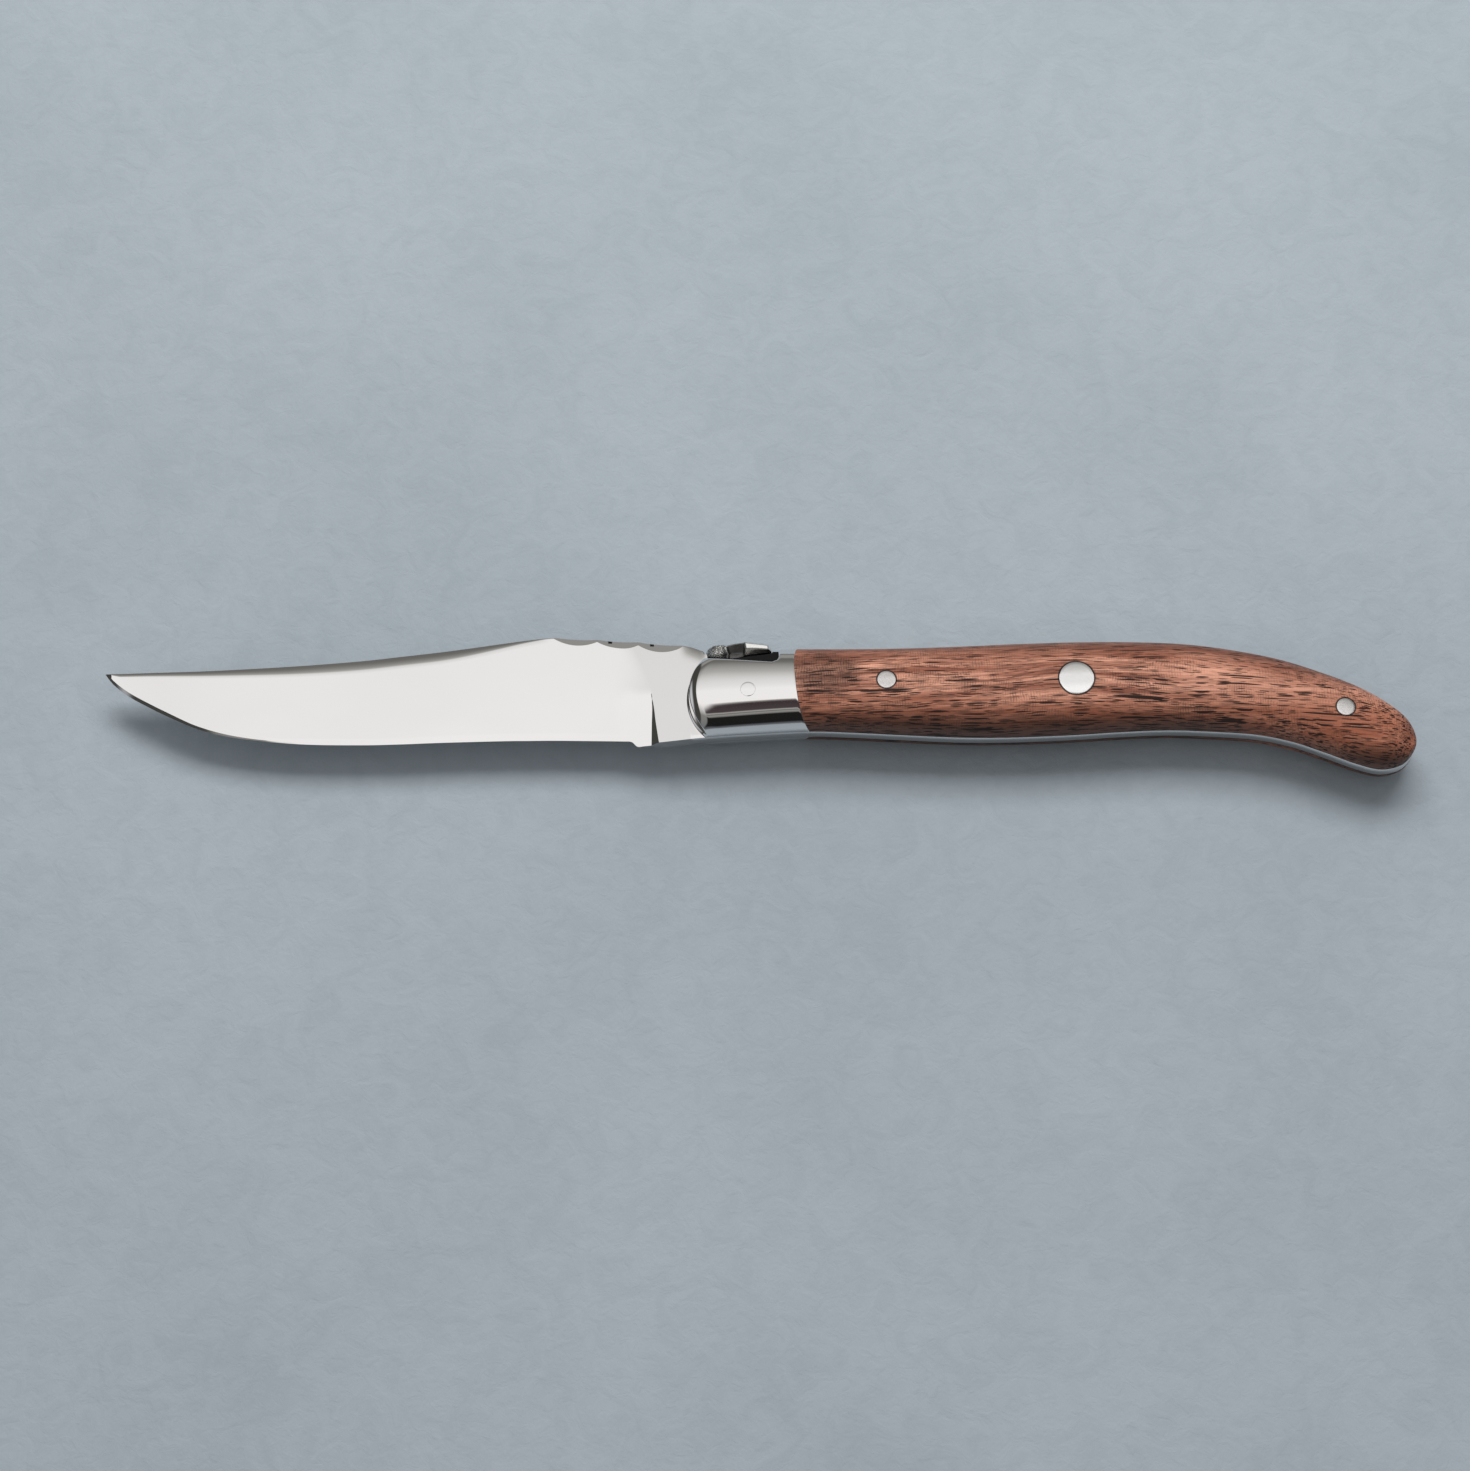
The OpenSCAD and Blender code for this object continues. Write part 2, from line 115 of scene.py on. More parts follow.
def curve_at(rows: Sequence[Row], t: float) -> Row:
    """Gives a point of the smooth curve that goes through all rows.

    Args:
        rows: the points that the curve goes through.
        t: the place on the curve, counted in rows.

    Returns:
        The point, with as many numbers as a row has.
    """
    last = len(rows) - 1
    i = min(int(t), last - 1)
    f = t - i
    around = rows[max(0, i - 1)], rows[i], rows[i + 1], rows[min(last, i + 2)]
    return tuple(
        b + 0.5 * f * (c - a + f * (2 * a - 5 * b + 4 * c - d + f * (3 * (b - c) + d - a)))
        for a, b, c, d in zip(*around)
    )


def rounded(start: Row, corner: Row, end: Row, f: float) -> Row:
    """Gives the point at share f of the curve that rounds a corner between two points."""
    return tuple(a * (1 - f) ** 2 + 2 * b * f * (1 - f) + c * f * f for a, b, c in zip(start, corner, end))


def read_at(rows: Sequence[Row], x: float) -> Row:
    """Reads rows of numbers in straight lines between them.

    Args:
        rows: the rows, whose first number is their place.
        x: the place that is read.

    Returns:
        The other numbers at x.
    """
    for before, after in zip(rows, rows[1:]):
        if x < after[0]:
            f = clamp((x - before[0]) / (after[0] - before[0]))
            return tuple(mix(a, b, f) for a, b in zip(before[1:], after[1:]))
    return rows[-1][1:]


def solve(rule: Callable[[float], float], low: float, high: float) -> float:
    """Finds where a rule crosses zero on its way down, by false position.

    Args:
        rule: the rule, which falls as its value grows.
        low: the least value tried.
        high: the largest value tried.

    Returns:
        The value where the rule is zero, or the end that comes nearest to it.
    """
    at_low, at_high = rule(low), rule(high)
    if at_low <= 0:
        return low
    if at_high >= 0:
        return high
    middle, moved = low, 0
    for _ in range(SOLVE_ROUNDS):
        middle = (low * at_high - high * at_low) / (at_high - at_low)
        value = rule(middle)
        if abs(value) < SOLVED:
            break
        # An end that stays twice running counts half, so that it moves too
        if value > 0:
            low, at_low = middle, value
            at_high = at_high / 2 if moved > 0 else at_high
            moved = 1
        else:
            high, at_high = middle, value
            at_low = at_low / 2 if moved < 0 else at_low
            moved = -1
    return middle


@dataclass
class KnifeForm:
    """Outline and sections of the knife, as its drawing gives them, in millimetres."""

    blade_len: float = 102.5
    handle_len: float = 127.5
    stock_t: float = 2.5
    blade_w: float = 19.3
    handle_h: float = 17.3
    section_power: float = 2.3
    bolster_len: float = 20.8
    joint_slant: float = math.radians(18.8)
    joint_lean: float = math.radians(5.6)
    # Thickness of one side at the swell, measured on the frame
    side_t: float = (CAD_BOX[1].z - CAD_BOX[0].z) / MM / 2 - stock_t / 2
    # Place along the blade, spine and edge, in shares of blade_len and blade_w
    blade_shares: Rows = (
        (0, 0.255, 0.255), (0.016, 0.26, 0.15), (0.042, 0.264, 0.041), (0.075, 0.27, -0.06),
        (0.117, 0.277, -0.174), (0.168, 0.287, -0.29), (0.234, 0.306, -0.373),
        (0.338, 0.342, -0.43), (0.441, 0.389, -0.44), (0.51, 0.433, -0.432),
        (0.578, 0.477, -0.417), (0.681, 0.55, -0.401), (0.73, 0.583, -0.398),
        (0.775, 0.6, -0.396), (0.852, 0.58, -0.4), (0.89, 0.568, -0.403), (0.906, 0.562, -0.41),
        (0.916, 0.558, -0.455), (0.93, 0.552, -0.45), (0.972, 0.533, -0.425), (1.006, 0.513, -0.403),
    )
    # Place and height of the spine, place and height of the belly, and thickness of one side
    bolster_shares: Rows = (
        (-0.072, 0.514, -0.072, -0.457, 0.9), (0.169, 0.512, 0.169, -0.431, 0.93),
        (0.53, 0.509, 0.53, -0.4, 0.96), (1, 0.509, 1, -0.371, 0.985),
    )
    wood_shares: Rows = (
        (0.073, 0.509, 0.073, -0.384, 0.99), (0.157, 0.516, 0.157, -0.41, 1),
        (0.251, 0.538, 0.251, -0.436, 1), (0.344, 0.566, 0.335, -0.436, 1),
        (0.447, 0.587, 0.429, -0.413, 1), (0.541, 0.587, 0.513, -0.379, 1),
        (0.625, 0.564, 0.593, -0.358, 1), (0.705, 0.497, 0.667, -0.373, 0.99),
        (0.78, 0.396, 0.738, -0.405, 0.975), (0.848, 0.254, 0.797, -0.483, 0.95),
        (0.911, 0.09, 0.85, -0.601, 0.91), (0.957, -0.087, 0.9, -0.723, 0.84),
        (0.985, -0.243, 0.94, -0.783, 0.72), (0.998, -0.405, 0.975, -0.728, 0.48),
        (0.996, -0.572, 0.996, -0.572, 0),
    )

    # How many rounds the search for a point of the skin takes
    rise_rounds: int = 6
    # Where the pocket between the bolsters ends
    pocket_x: float = 118.6
    # Places of the pins, as shares of the bolster's or the wood's length and of handle_h
    bolster_pin_shares: Row = (0.515, -0.023)
    front_pin_shares: Row = (0.132, 0.078)
    rivet_shares: Row = (0.443, 0.096)
    rear_pin_shares: Row = (0.881, -0.208)
    pin_d: float = 3.3
    bolster_pin_d: float = 2.6
    head_d: float = 6.2
    tube_d: float = 3.8

    def __post_init__(self) -> None:
        """Works out the real places of all stations and pins."""
        self.half_stock = self.stock_t / 2
        self.joint_x = self.blade_len + self.bolster_len
        bolster = (self.blade_len, self.bolster_len)
        wood = (self.joint_x, self.handle_len - self.bolster_len)
        self.blade_rows = [
            (a * self.blade_len, b * self.blade_w, c * self.blade_w) for a, b, c in self.blade_shares]
        handle = [
            (start + a * length, b * self.handle_h, start + c * length, d * self.handle_h, e)
            for (start, length), shares in ((bolster, self.bolster_shares), (wood, self.wood_shares))
            for a, b, c, d, e in shares
        ]
        self.outline_rows = [r[:2] for r in handle] + [r[2:4] for r in handle[-2::-1]]
        self.thick_rows = [(r[4],) for r in handle[:-1]]
        self.joint_place = len(self.bolster_shares) - 1
        self.butt_place = len(handle) - 1
        self.bolster_pin, self.front_pin, self.rivet, self.rear_pin = (
            (start + along * length, up * self.handle_h) for (start, length), (along, up) in (
                (bolster, self.bolster_pin_shares), (wood, self.front_pin_shares),
                (wood, self.rivet_shares), (wood, self.rear_pin_shares)))

    @property
    def top_y(self) -> float:
        """Height of the blade's highest point."""
        return max(row[1] for row in self.blade_rows)

    def blade_at(self, x: float) -> tuple[float, float]:
        """Gives the heights of the blade's spine and edge at x."""
        last = len(self.blade_rows) - 1
        t = solve(lambda place: x - curve_at(self.blade_rows, place)[0], 0, last)
        return curve_at(self.blade_rows, t)[1:]

    def spine_point(self, t: float) -> Row:
        """Gives the handle's spine at place t, counted in stations."""
        return curve_at(self.outline_rows, t)

    def belly_point(self, t: float) -> Row:
        """Gives the handle's belly at place t, counted in stations."""
        return curve_at(self.outline_rows, 2 * self.butt_place - t)

    def gathered(self, t: float) -> float:
        """Leaves a place as it is, but lets places gather at the very butt."""
        last = self.butt_place - 1
        return t if t < last else last + math.sin((t - last) * math.pi / 2)

    def side_at(self, t: float) -> float:
        """Gives the thickness of one side at place t, rounded over at the butt."""
        last = self.butt_place - 1
        if t > last:
            return self.side_t * self.thick_rows[-1][0] * math.sqrt(max(0.0, 1 - (t - last) ** 2))
        return self.side_t * curve_at(self.thick_rows, t)[0]

    def section(self, v: float) -> tuple[float, float]:
        """Gives height and rise of the rounded section, from spine at v = 0 to belly at v = 1.

        Args:
            v: the place around one side.

        Returns:
            The height from 1 to -1, and the rise between 0 and 1.
        """
        power = 2 / self.section_power
        cosine = math.cos(math.pi * v)
        rise = max(0.0, math.sin(math.pi * v)) ** power if 0 < v < 1 else 0.0
        return math.copysign(abs(cosine) ** power, cosine), rise

    def skin(self, t: float, v: float, shrink: float = 0.0) -> tuple[float, float, float]:
        """Gives a point of the handle's skin.

        Args:
            t: the place along the handle, counted in stations.
            v: the place around one side, 0 at the spine and 1 at the belly.
            shrink: how far the skin is drawn in.

        Returns:
            x, y and the height above the tang's face.
        """
        top, bottom = self.spine_point(t), self.belly_point(t)
        up, rise = self.section(v)
        height = max(0.0, self.side_at(t) - shrink) * rise
        middle = [(a + b) / 2 for a, b in zip(top, bottom)]
        half = [(a - b) / 2 for a, b in zip(top, bottom)]
        length = math.hypot(*half)
        scale = max(0.0, 1 - shrink / length) if length > 0 else 0.0
        y = middle[1] + half[1] * up * scale
        joint = self.joint_place
        slant = t / joint if t < joint else max(0.0, 1 - (t - joint) / joint)
        lean = height * math.tan(self.joint_slant) + (y - middle[1]) * math.tan(self.joint_lean)
        return middle[0] + half[0] * up * scale - slant * lean, y, height

    def around_at(self, t: float, y: float) -> float:
        """Gives the place around one side where the section at place t has the height y."""
        top, bottom = self.spine_point(t)[1], self.belly_point(t)[1]
        up = clamp((2 * y - top - bottom) / (top - bottom), -1, 1)
        return math.acos(math.copysign(abs(up) ** (self.section_power / 2), up)) / math.pi

    def rise_at(self, x: float, y: float) -> float:
        """Gives the height of the handle's skin above the tang's face, over one point of the side.

        Args:
            x: the point's place along the knife.
            y: its height.

        Returns:
            How far the skin lies above the tang's face there.
        """
        v = 0.0
        for _ in range(self.rise_rounds):
            t = solve(lambda place: x - self.skin(place, v)[0], 0, self.butt_place - 1)
            v = self.around_at(t, y)
        return self.skin(t, v)[2]


FORM = KnifeForm()


@dataclass(frozen=True)
class Bench:
    """Where the knife lies in the frame. A point outside the frame's box is put on its wall."""

    tip_x: float = CAD_BOX[0].x
    mid_y: float = CAD_BOX[1].y - FORM.top_y * MM
    mid_z: float = (CAD_BOX[0].z + CAD_BOX[1].z) / 2

    def free(self, x: float, y: float, z: float) -> Vector:
        """Turns millimetres on the knife into a point of the frame, inside its box or not."""
        return Vector((self.tip_x + x * MM, self.mid_y + y * MM, self.mid_z + z * MM))

    def put(self, x: float, y: float, z: float) -> Vector:
        """Turns millimetres on the knife into a point of the frame that lies in its box."""
        return Vector([clamp(p, low, high) for p, low, high in zip(self.free(x, y, z), *CAD_BOX)])

    def matrix(self, x: float, y: float, z: float) -> Matrix:
        """Gives the move from the origin to a point of the knife, with millimetres made metres."""
        return Matrix.Translation(self.free(x, y, z)) @ Matrix.Scale(MM, 4)


BENCH = Bench()
Place = Callable[[float, float], Vector]


def lay_patch(bm: bmesh.types.BMesh, along: int, across: int, place: Place) -> None:
    """Adds a grid and puts its corners on a surface.

    Args:
        bm: the mesh that gets the grid.
        along: how many cells the grid has in its first direction.
        across: how many it has in the second.
        place: gives the surface's point from two shares between 0 and 1.
    """
    made = bmesh.ops.create_grid(bm, x_segments=along, y_segments=across, size=0.5)
    for vert in made["verts"]:
        u = round((vert.co.x + 0.5) * along) / along
        w = round((vert.co.y + 0.5) * across) / across
        vert.co = place(u, w)


def face_outward(bm: bmesh.types.BMesh) -> None:
    """Turns the faces of a closed mesh outward."""
    bmesh.ops.recalc_face_normals(bm, faces=bm.faces)
    if bm.calc_volume(signed=True) < 0:
        bmesh.ops.reverse_faces(bm, faces=bm.faces)


def close_up(bm: bmesh.types.BMesh) -> None:
    """Welds a mesh, fills its open loops and turns its faces outward."""
    bmesh.ops.remove_doubles(bm, verts=bm.verts, dist=WELD)
    bmesh.ops.dissolve_degenerate(bm, edges=bm.edges, dist=WELD / 4)
    open_edges = [edge for edge in bm.edges if edge.is_boundary]
    if open_edges:
        bmesh.ops.holes_fill(bm, edges=open_edges, sides=0)
    face_outward(bm)


def cut_with(piece: bpy.types.Object, cutters: Sequence[bpy.types.Object]) -> None:
    """Takes the cutters' shapes out of a piece and deletes them.

    Args:
        piece: the piece, which gets a new mesh.
        cutters: the shapes, in the order in which they cut.
    """
    for cutter in cutters:
        cut = piece.modifiers.new("cut", "BOOLEAN")
        cut.operation = "DIFFERENCE"
        cut.solver = "MANIFOLD"
        cut.object = cutter
    bpy.context.view_layer.update()
    finished = bpy.data.meshes.new_from_object(piece.evaluated_get(bpy.context.evaluated_depsgraph_get()))
    piece.modifiers.clear()
    piece.data = finished
    for cutter in cutters:
        bpy.data.objects.remove(cutter)


def link(name: str, data: bpy.types.ID) -> bpy.types.Object:
    """Puts a new object with some data in the scene."""
    made = bpy.data.objects.new(name, data)
    bpy.context.scene.collection.objects.link(made)
    return made


def new_object(name: str, bm: bmesh.types.BMesh) -> bpy.types.Object:
    """Turns a bmesh into an object of the scene.

    Args:
        name: the object's name.
        bm: the mesh, which is freed.

    Returns:
        The object.
    """
    mesh = bpy.data.meshes.new(name)
    bm.to_mesh(mesh)
    bm.free()
    return link(name, mesh)


def slab(outline: Sequence[tuple[float, float]], half: float) -> bpy.types.Object:
    """Makes a flat cutter.

    Args:
        outline: its corners in order, each along and across the knife.
        half: how far it reaches to both sides of the middle of the tang.

    Returns:
        The cutter.
    """
    bm = bmesh.new()
    corners = [bm.verts.new(BENCH.free(x, y, -half)) for x, y in outline]
    face = bmesh.ops.contextual_create(bm, geom=corners)["faces"]
    made = bmesh.ops.extrude_face_region(bm, geom=face)["geom"]
    bmesh.ops.translate(bm, vec=(0, 0, 2 * half * MM),
                        verts=[item for item in made if isinstance(item, bmesh.types.BMVert)])
    face_outward(bm)
    return new_object("cutter", bm)


def rod(x: float, y: float, z: float, radius: float, length: float, turn: Matrix | None = None,
        segments: int = 96) -> bpy.types.Object:
    """Makes a round cutter.

    Args:
        x: where its middle is along the knife.
        y: where its middle is across the knife.
        z: where its middle is above the middle of the tang.
        radius: its radius.
        length: its length along its axis.
        turn: how its axis, which is upright, is turned and moved from there.
        segments: how many facets it has.

    Returns:
        The cutter.
    """
    bm = bmesh.new()
    bmesh.ops.create_cone(bm, cap_ends=True, segments=segments, radius1=radius, radius2=radius,
                          depth=length, matrix=BENCH.matrix(x, y, z) @ (turn or Matrix()))
    face_outward(bm)
    return new_object("cutter", bm)


def arithmetic(operation: str, swapped: bool = False) -> "Callable[..., Signal]":
    """Makes an operator of signals.

    Args:
        operation: what its Math node does.
        swapped: whether the other value comes first.

    Returns:
        The operator.
    """
    def run(signal: "Signal", *others: "float | Signal") -> "Signal":
        """Adds the Math node and gives its result."""
        values = (*others, signal) if swapped else (signal, *others)
        node = signal.bench.node("Math", dict(enumerate(values)), operation=operation)
        return Signal(signal.bench, node.outputs[0])
    return run


@dataclass(frozen=True)
class Signal:
    """One number that a shader node gives, with the usual arithmetic."""

    bench: "Nodes"
    socket: Socket

    __add__ = __radd__ = arithmetic("ADD")
    __mul__ = __rmul__ = arithmetic("MULTIPLY")
    __sub__ = arithmetic("SUBTRACT")
    __rsub__ = arithmetic("SUBTRACT", swapped=True)
    __truediv__ = arithmetic("DIVIDE")
    __pow__ = arithmetic("POWER")
    __abs__ = arithmetic("ABSOLUTE")
    most = arithmetic("MAXIMUM")
    angle = arithmetic("ARCTAN2")

    def over(self, low: float, high: float) -> "Signal":
        """Goes smoothly from 0 where self is low to 1 where it is high."""
        node = self.bench.node("MapRange", {0: self, 1: low, 2: high}, interpolation_type="SMOOTHSTEP")
        return Signal(self.bench, node.outputs[0])


class Nodes:
    """Adds nodes to one node tree."""

    def __init__(self, tree: bpy.types.NodeTree) -> None:
        """Starts with an empty tree."""
        self.tree = tree
        tree.nodes.clear()

    def node(self, kind: str, inputs: dict | None = None, **settings: object) -> bpy.types.Node:
        """Adds a node.

        Args:
            kind: its type, without the words that all types start with.
            inputs: values, links and signals by the name or number of their socket.
            settings: its properties.

        Returns:
            The node.
        """
        made = self.tree.nodes.new(f"ShaderNode{kind}")
        for name, value in settings.items():
            setattr(made, name, value)
        for key, value in (inputs or {}).items():
            socket = made.inputs[key]
            source = getattr(value, "socket", value)
            if isinstance(source, Socket):
                self.tree.links.new(source, socket)
            elif isinstance(source, tuple) and socket.type == "RGBA":
                socket.default_value = (*source, 1.0)
            else:
                socket.default_value = source
        return made

    def ramp(self, place: Signal, stops: Sequence[tuple[float, Colour]]) -> Socket:
        """Reads a colour ramp.

        Args:
            place: where it is read, between 0 and 1.
            stops: its places and their colours.

        Returns:
            The colour.
        """
        made = self.node("ValToRGB", {0: place})
        elements = made.color_ramp.elements
        while len(elements) < len(stops):
            elements.new(1.0)
        for element, (position, colour) in zip(elements, stops):
            element.position = position
            element.color = (*colour, 1.0)
        return made.outputs[0]

    def signals(self, node: bpy.types.Node) -> list[Signal]:
        """Gives the outputs of a node as signals."""
        return [Signal(self, output) for output in node.outputs]

    def split(self, place: Socket) -> list[Signal]:
        """Gives the three parts of coordinates."""
        return self.signals(self.node("SeparateXYZ", {0: place}))

    def blend(self, factor: "float | Signal", low: Socket | Colour, high: Socket | Colour) -> Socket:
        """Mixes two colours."""
        return self.node("Mix", {0: factor, 6: low, 7: high}, data_type="RGBA").outputs[2]

    def vectors(self, operation: str, one: Socket, other: Socket | Row) -> Socket:
        """Adds a Vector Math node."""
        return self.node("VectorMath", {0: one, 1: other}, operation=operation).outputs[0]

    def millimetres(self, scale: Row = (1.0, 1.0, 1.0), turn: Row = (0.0, 0.0, 0.0)) -> Socket:
        """Gives the piece's own coordinates, counted from the knife's tip, in millimetres times a scale.

        Args:
            scale: the scale along each axis.
            turn: how far they are turned about each axis.

        Returns:
            The coordinates.
        """
        place = self.node("TexCoord").outputs["Object"]
        tip = self.vectors("SUBTRACT", place, (BENCH.tip_x, BENCH.mid_y, BENCH.mid_z))
        return self.node("Mapping", {
            "Vector": tip, "Rotation": turn, "Scale": tuple(s / MM for s in scale)}).outputs[0]

    def cloud(self, where: Socket, scale: float, detail: float, rough: float, twist: float = 0.0) -> Signal:
        """Adds a noise texture.

        Args:
            where: its coordinates.
            scale: how many of its patches fit in one unit.
            detail: how many times it is laid over itself, each time finer.
            rough: how much the finer layers weigh.
            twist: how far it is distorted.

        Returns:
            Its value.
        """
        return self.signals(self.node("TexNoise", {
            "Vector": where, "Scale": scale, "Detail": detail, "Roughness": rough, "Distortion": twist}))[0]

    def stretched(self, scale: Row, detail: float, rough: float) -> Signal:
        """Gives noise with so many patches in a millimetre along, across and up."""
        return self.cloud(self.millimetres(scale), 1.0, detail, rough)

    def dent(self, height: Signal, depth: float) -> Socket:
        """Adds a bump of some depth in metres and gives its normal."""
        return self.node("Bump", {"Height": height, "Distance": depth, "Strength": 1.0}).outputs[0]


@dataclass(frozen=True)
class Finish:
    """A material made of nodes, whose subclasses say what goes into its shader."""

    name: str

    def paint(self) -> bpy.types.Material:
        """Makes the material."""
        material = bpy.data.materials.new(self.name)
        material.use_nodes = True
        nodes = Nodes(material.node_tree)
        shader = nodes.node("BsdfPrincipled", self.inputs(nodes))
        nodes.node("OutputMaterial", {"Surface": shader.outputs[0]})
        return material

    def inputs(self, nodes: Nodes) -> dict:
        """Gives what goes into the shader.

        Args:
            nodes: adds nodes to the material's tree.

        Returns:
            The shader's inputs by the name of their socket.
        """
        raise NotImplementedError


@dataclass(frozen=True)
class PolishedSteel(Finish):
    """Steel buffed until it mirrors the room, with the faint lines of the buffing wheel, and painted shade in
    given hollows.
    """

    colour: Colour = (0.865, 0.86, 0.86)
    shade: Colour = (0.845, 0.84, 0.84)
    rough: float = 0.05
    rough_spread: float = 0.04
    line_depth: float = 1.5e-7
    line_scale: Row = (0.05, 6.0, 6.0)
    haze_scale: Row = (0.03, 0.06, 0.06)
    haze_span: Row = (0.35, 0.7)
    # Lowest and highest corner of each hollow that is painted dark as painted shade, and made rougher
    painted_shade_boxes: tuple[tuple[Row, Row], ...] = ()
    # The painted shade's colour, the width over which it fades in, and the roughness it adds
    painted_shade: Colour = (0.03, 0.03, 0.03)
    shade_box_edge: float = 0.15
    shade_box_rough: float = 0.4

    def inputs(self, nodes: Nodes) -> dict:
        """Gives what goes into the shader, as Finish.inputs says."""
        lines = nodes.stretched(self.line_scale, 4.0, 0.6)
        haze = nodes.stretched(self.haze_scale, 2.0, 0.5)
        colour = nodes.blend(haze.over(*self.haze_span), self.colour, self.shade)
        rough = self.rough + self.rough_spread * lines * haze
        # Painted shade: each box darkens its hollow and makes it rougher
        for box in self.painted_shade_boxes:
            inside = 1.0
            for at, low, high in zip(nodes.split(nodes.millimetres()), *box):
                beyond = at.over(high - self.shade_box_edge, high)
                inside = inside * at.over(low, low + self.shade_box_edge) * (1 - beyond)
            colour = nodes.blend(inside, colour, self.painted_shade)
            rough = rough + self.shade_box_rough * inside
        return {"Base Color": colour, "Metallic": 1.0, "Roughness": rough,
                "Normal": nodes.dent(lines, self.line_depth)}


@dataclass(frozen=True)
class ForgedSteel(Finish):
    """Steel as it leaves the die, polished on its facets and stippled on its head, with painted shade in the
    pits and in the undercut neck.
    """

    head_end: float
    neck_end: float
    colour: Colour = (0.86, 0.86, 0.85)
    # Colour of the shade painted into the pits and the undercut neck
    hollow: Colour = (0.06, 0.06, 0.06)
    # Over which lengths the stipple fades out and the painted shade of the undercut neck comes and goes
    head_fade: float = 0.3
    neck_shade_fades: Row = (0.2, 0.7, 0.4)
    # Cells of the stipple in a millimetre, where in a cell a pit starts and is full, and its depth in metres
    pits: float = 3.0
    pit_span: Row = (0.3, 0.62)
    pit_depth: float = 3.5e-5
    # Patches of the grain in a millimetre, and its height by the pits' depth
    grain_scale: float = 1.8
    grain_height: float = 0.05
    # How much of the painted shade's colour the pits and the undercut neck take at most
    pit_cover: float = 0.6
    neck_shade_cover: float = 0.8
    # Roughness of the plain steel, and what the grain and the pits add to it
    roughs: Row = (0.12, 0.1, 0.15)

    def inputs(self, nodes: Nodes) -> dict:
        """Gives what goes into the shader, as Finish.inputs says."""
        place = nodes.millimetres()
        along = nodes.split(place)[0]
        head = 1 - along.over(self.head_end - self.head_fade, self.head_end + self.head_fade)
        dots = nodes.node("TexVoronoi", {"Vector": place, "Scale": self.pits}, feature="F1")
        pits = nodes.signals(dots)[0].over(*self.pit_span) * head
        start, full, fade = self.neck_shade_fades
        neck_shade = along.over(self.head_end + start, self.head_end + full) * (
            1 - along.over(self.neck_end - fade, self.neck_end))
        grain = nodes.cloud(place, self.grain_scale, 4.0, 0.6)
        # Painted shade: the pits and the undercut neck are darkened in the colour
        dark = (pits * self.pit_cover).most(neck_shade * self.neck_shade_cover)
        plain, grained, pitted = self.roughs
        return {"Base Color": nodes.blend(dark, self.colour, self.hollow),
                "Metallic": 1.0, "Roughness": plain + grained * grain + pitted * pits,
                "Normal": nodes.dent(1 - pits + self.grain_height * grain, self.pit_depth)}


@dataclass(frozen=True)
class GroundSteel(Finish):
    """The end of a pin, ground flush with fine abrasive."""

    colour: Colour = (0.97, 0.95, 0.94)
    dark: Colour = (0.74, 0.72, 0.71)
    rough: float = 0.3
    rough_spread: float = 0.2
    grit: float = 7.0
    grit_span: Row = (0.35, 0.7)
    grit_depth: float = 6e-6
    scratch_scale: Row = (0.4, 9.0, 3.0)
    scratch_turn: Row = (0.0, 0.0, 0.5)

    def inputs(self, nodes: Nodes) -> dict:
        """Gives what goes into the shader, as Finish.inputs says."""
        grit = nodes.cloud(nodes.millimetres(), self.grit, 3.0, 0.6)
        scratch = nodes.cloud(nodes.millimetres(self.scratch_scale, self.scratch_turn), 1.0, 2.0, 0.5)
        return {"Base Color": nodes.blend(grit.over(*self.grit_span), self.colour, self.dark),
                "Metallic": 1.0, "Roughness": self.rough + self.rough_spread * (scratch - 0.5),
                "Normal": nodes.dent(grit + scratch, self.grit_depth)}


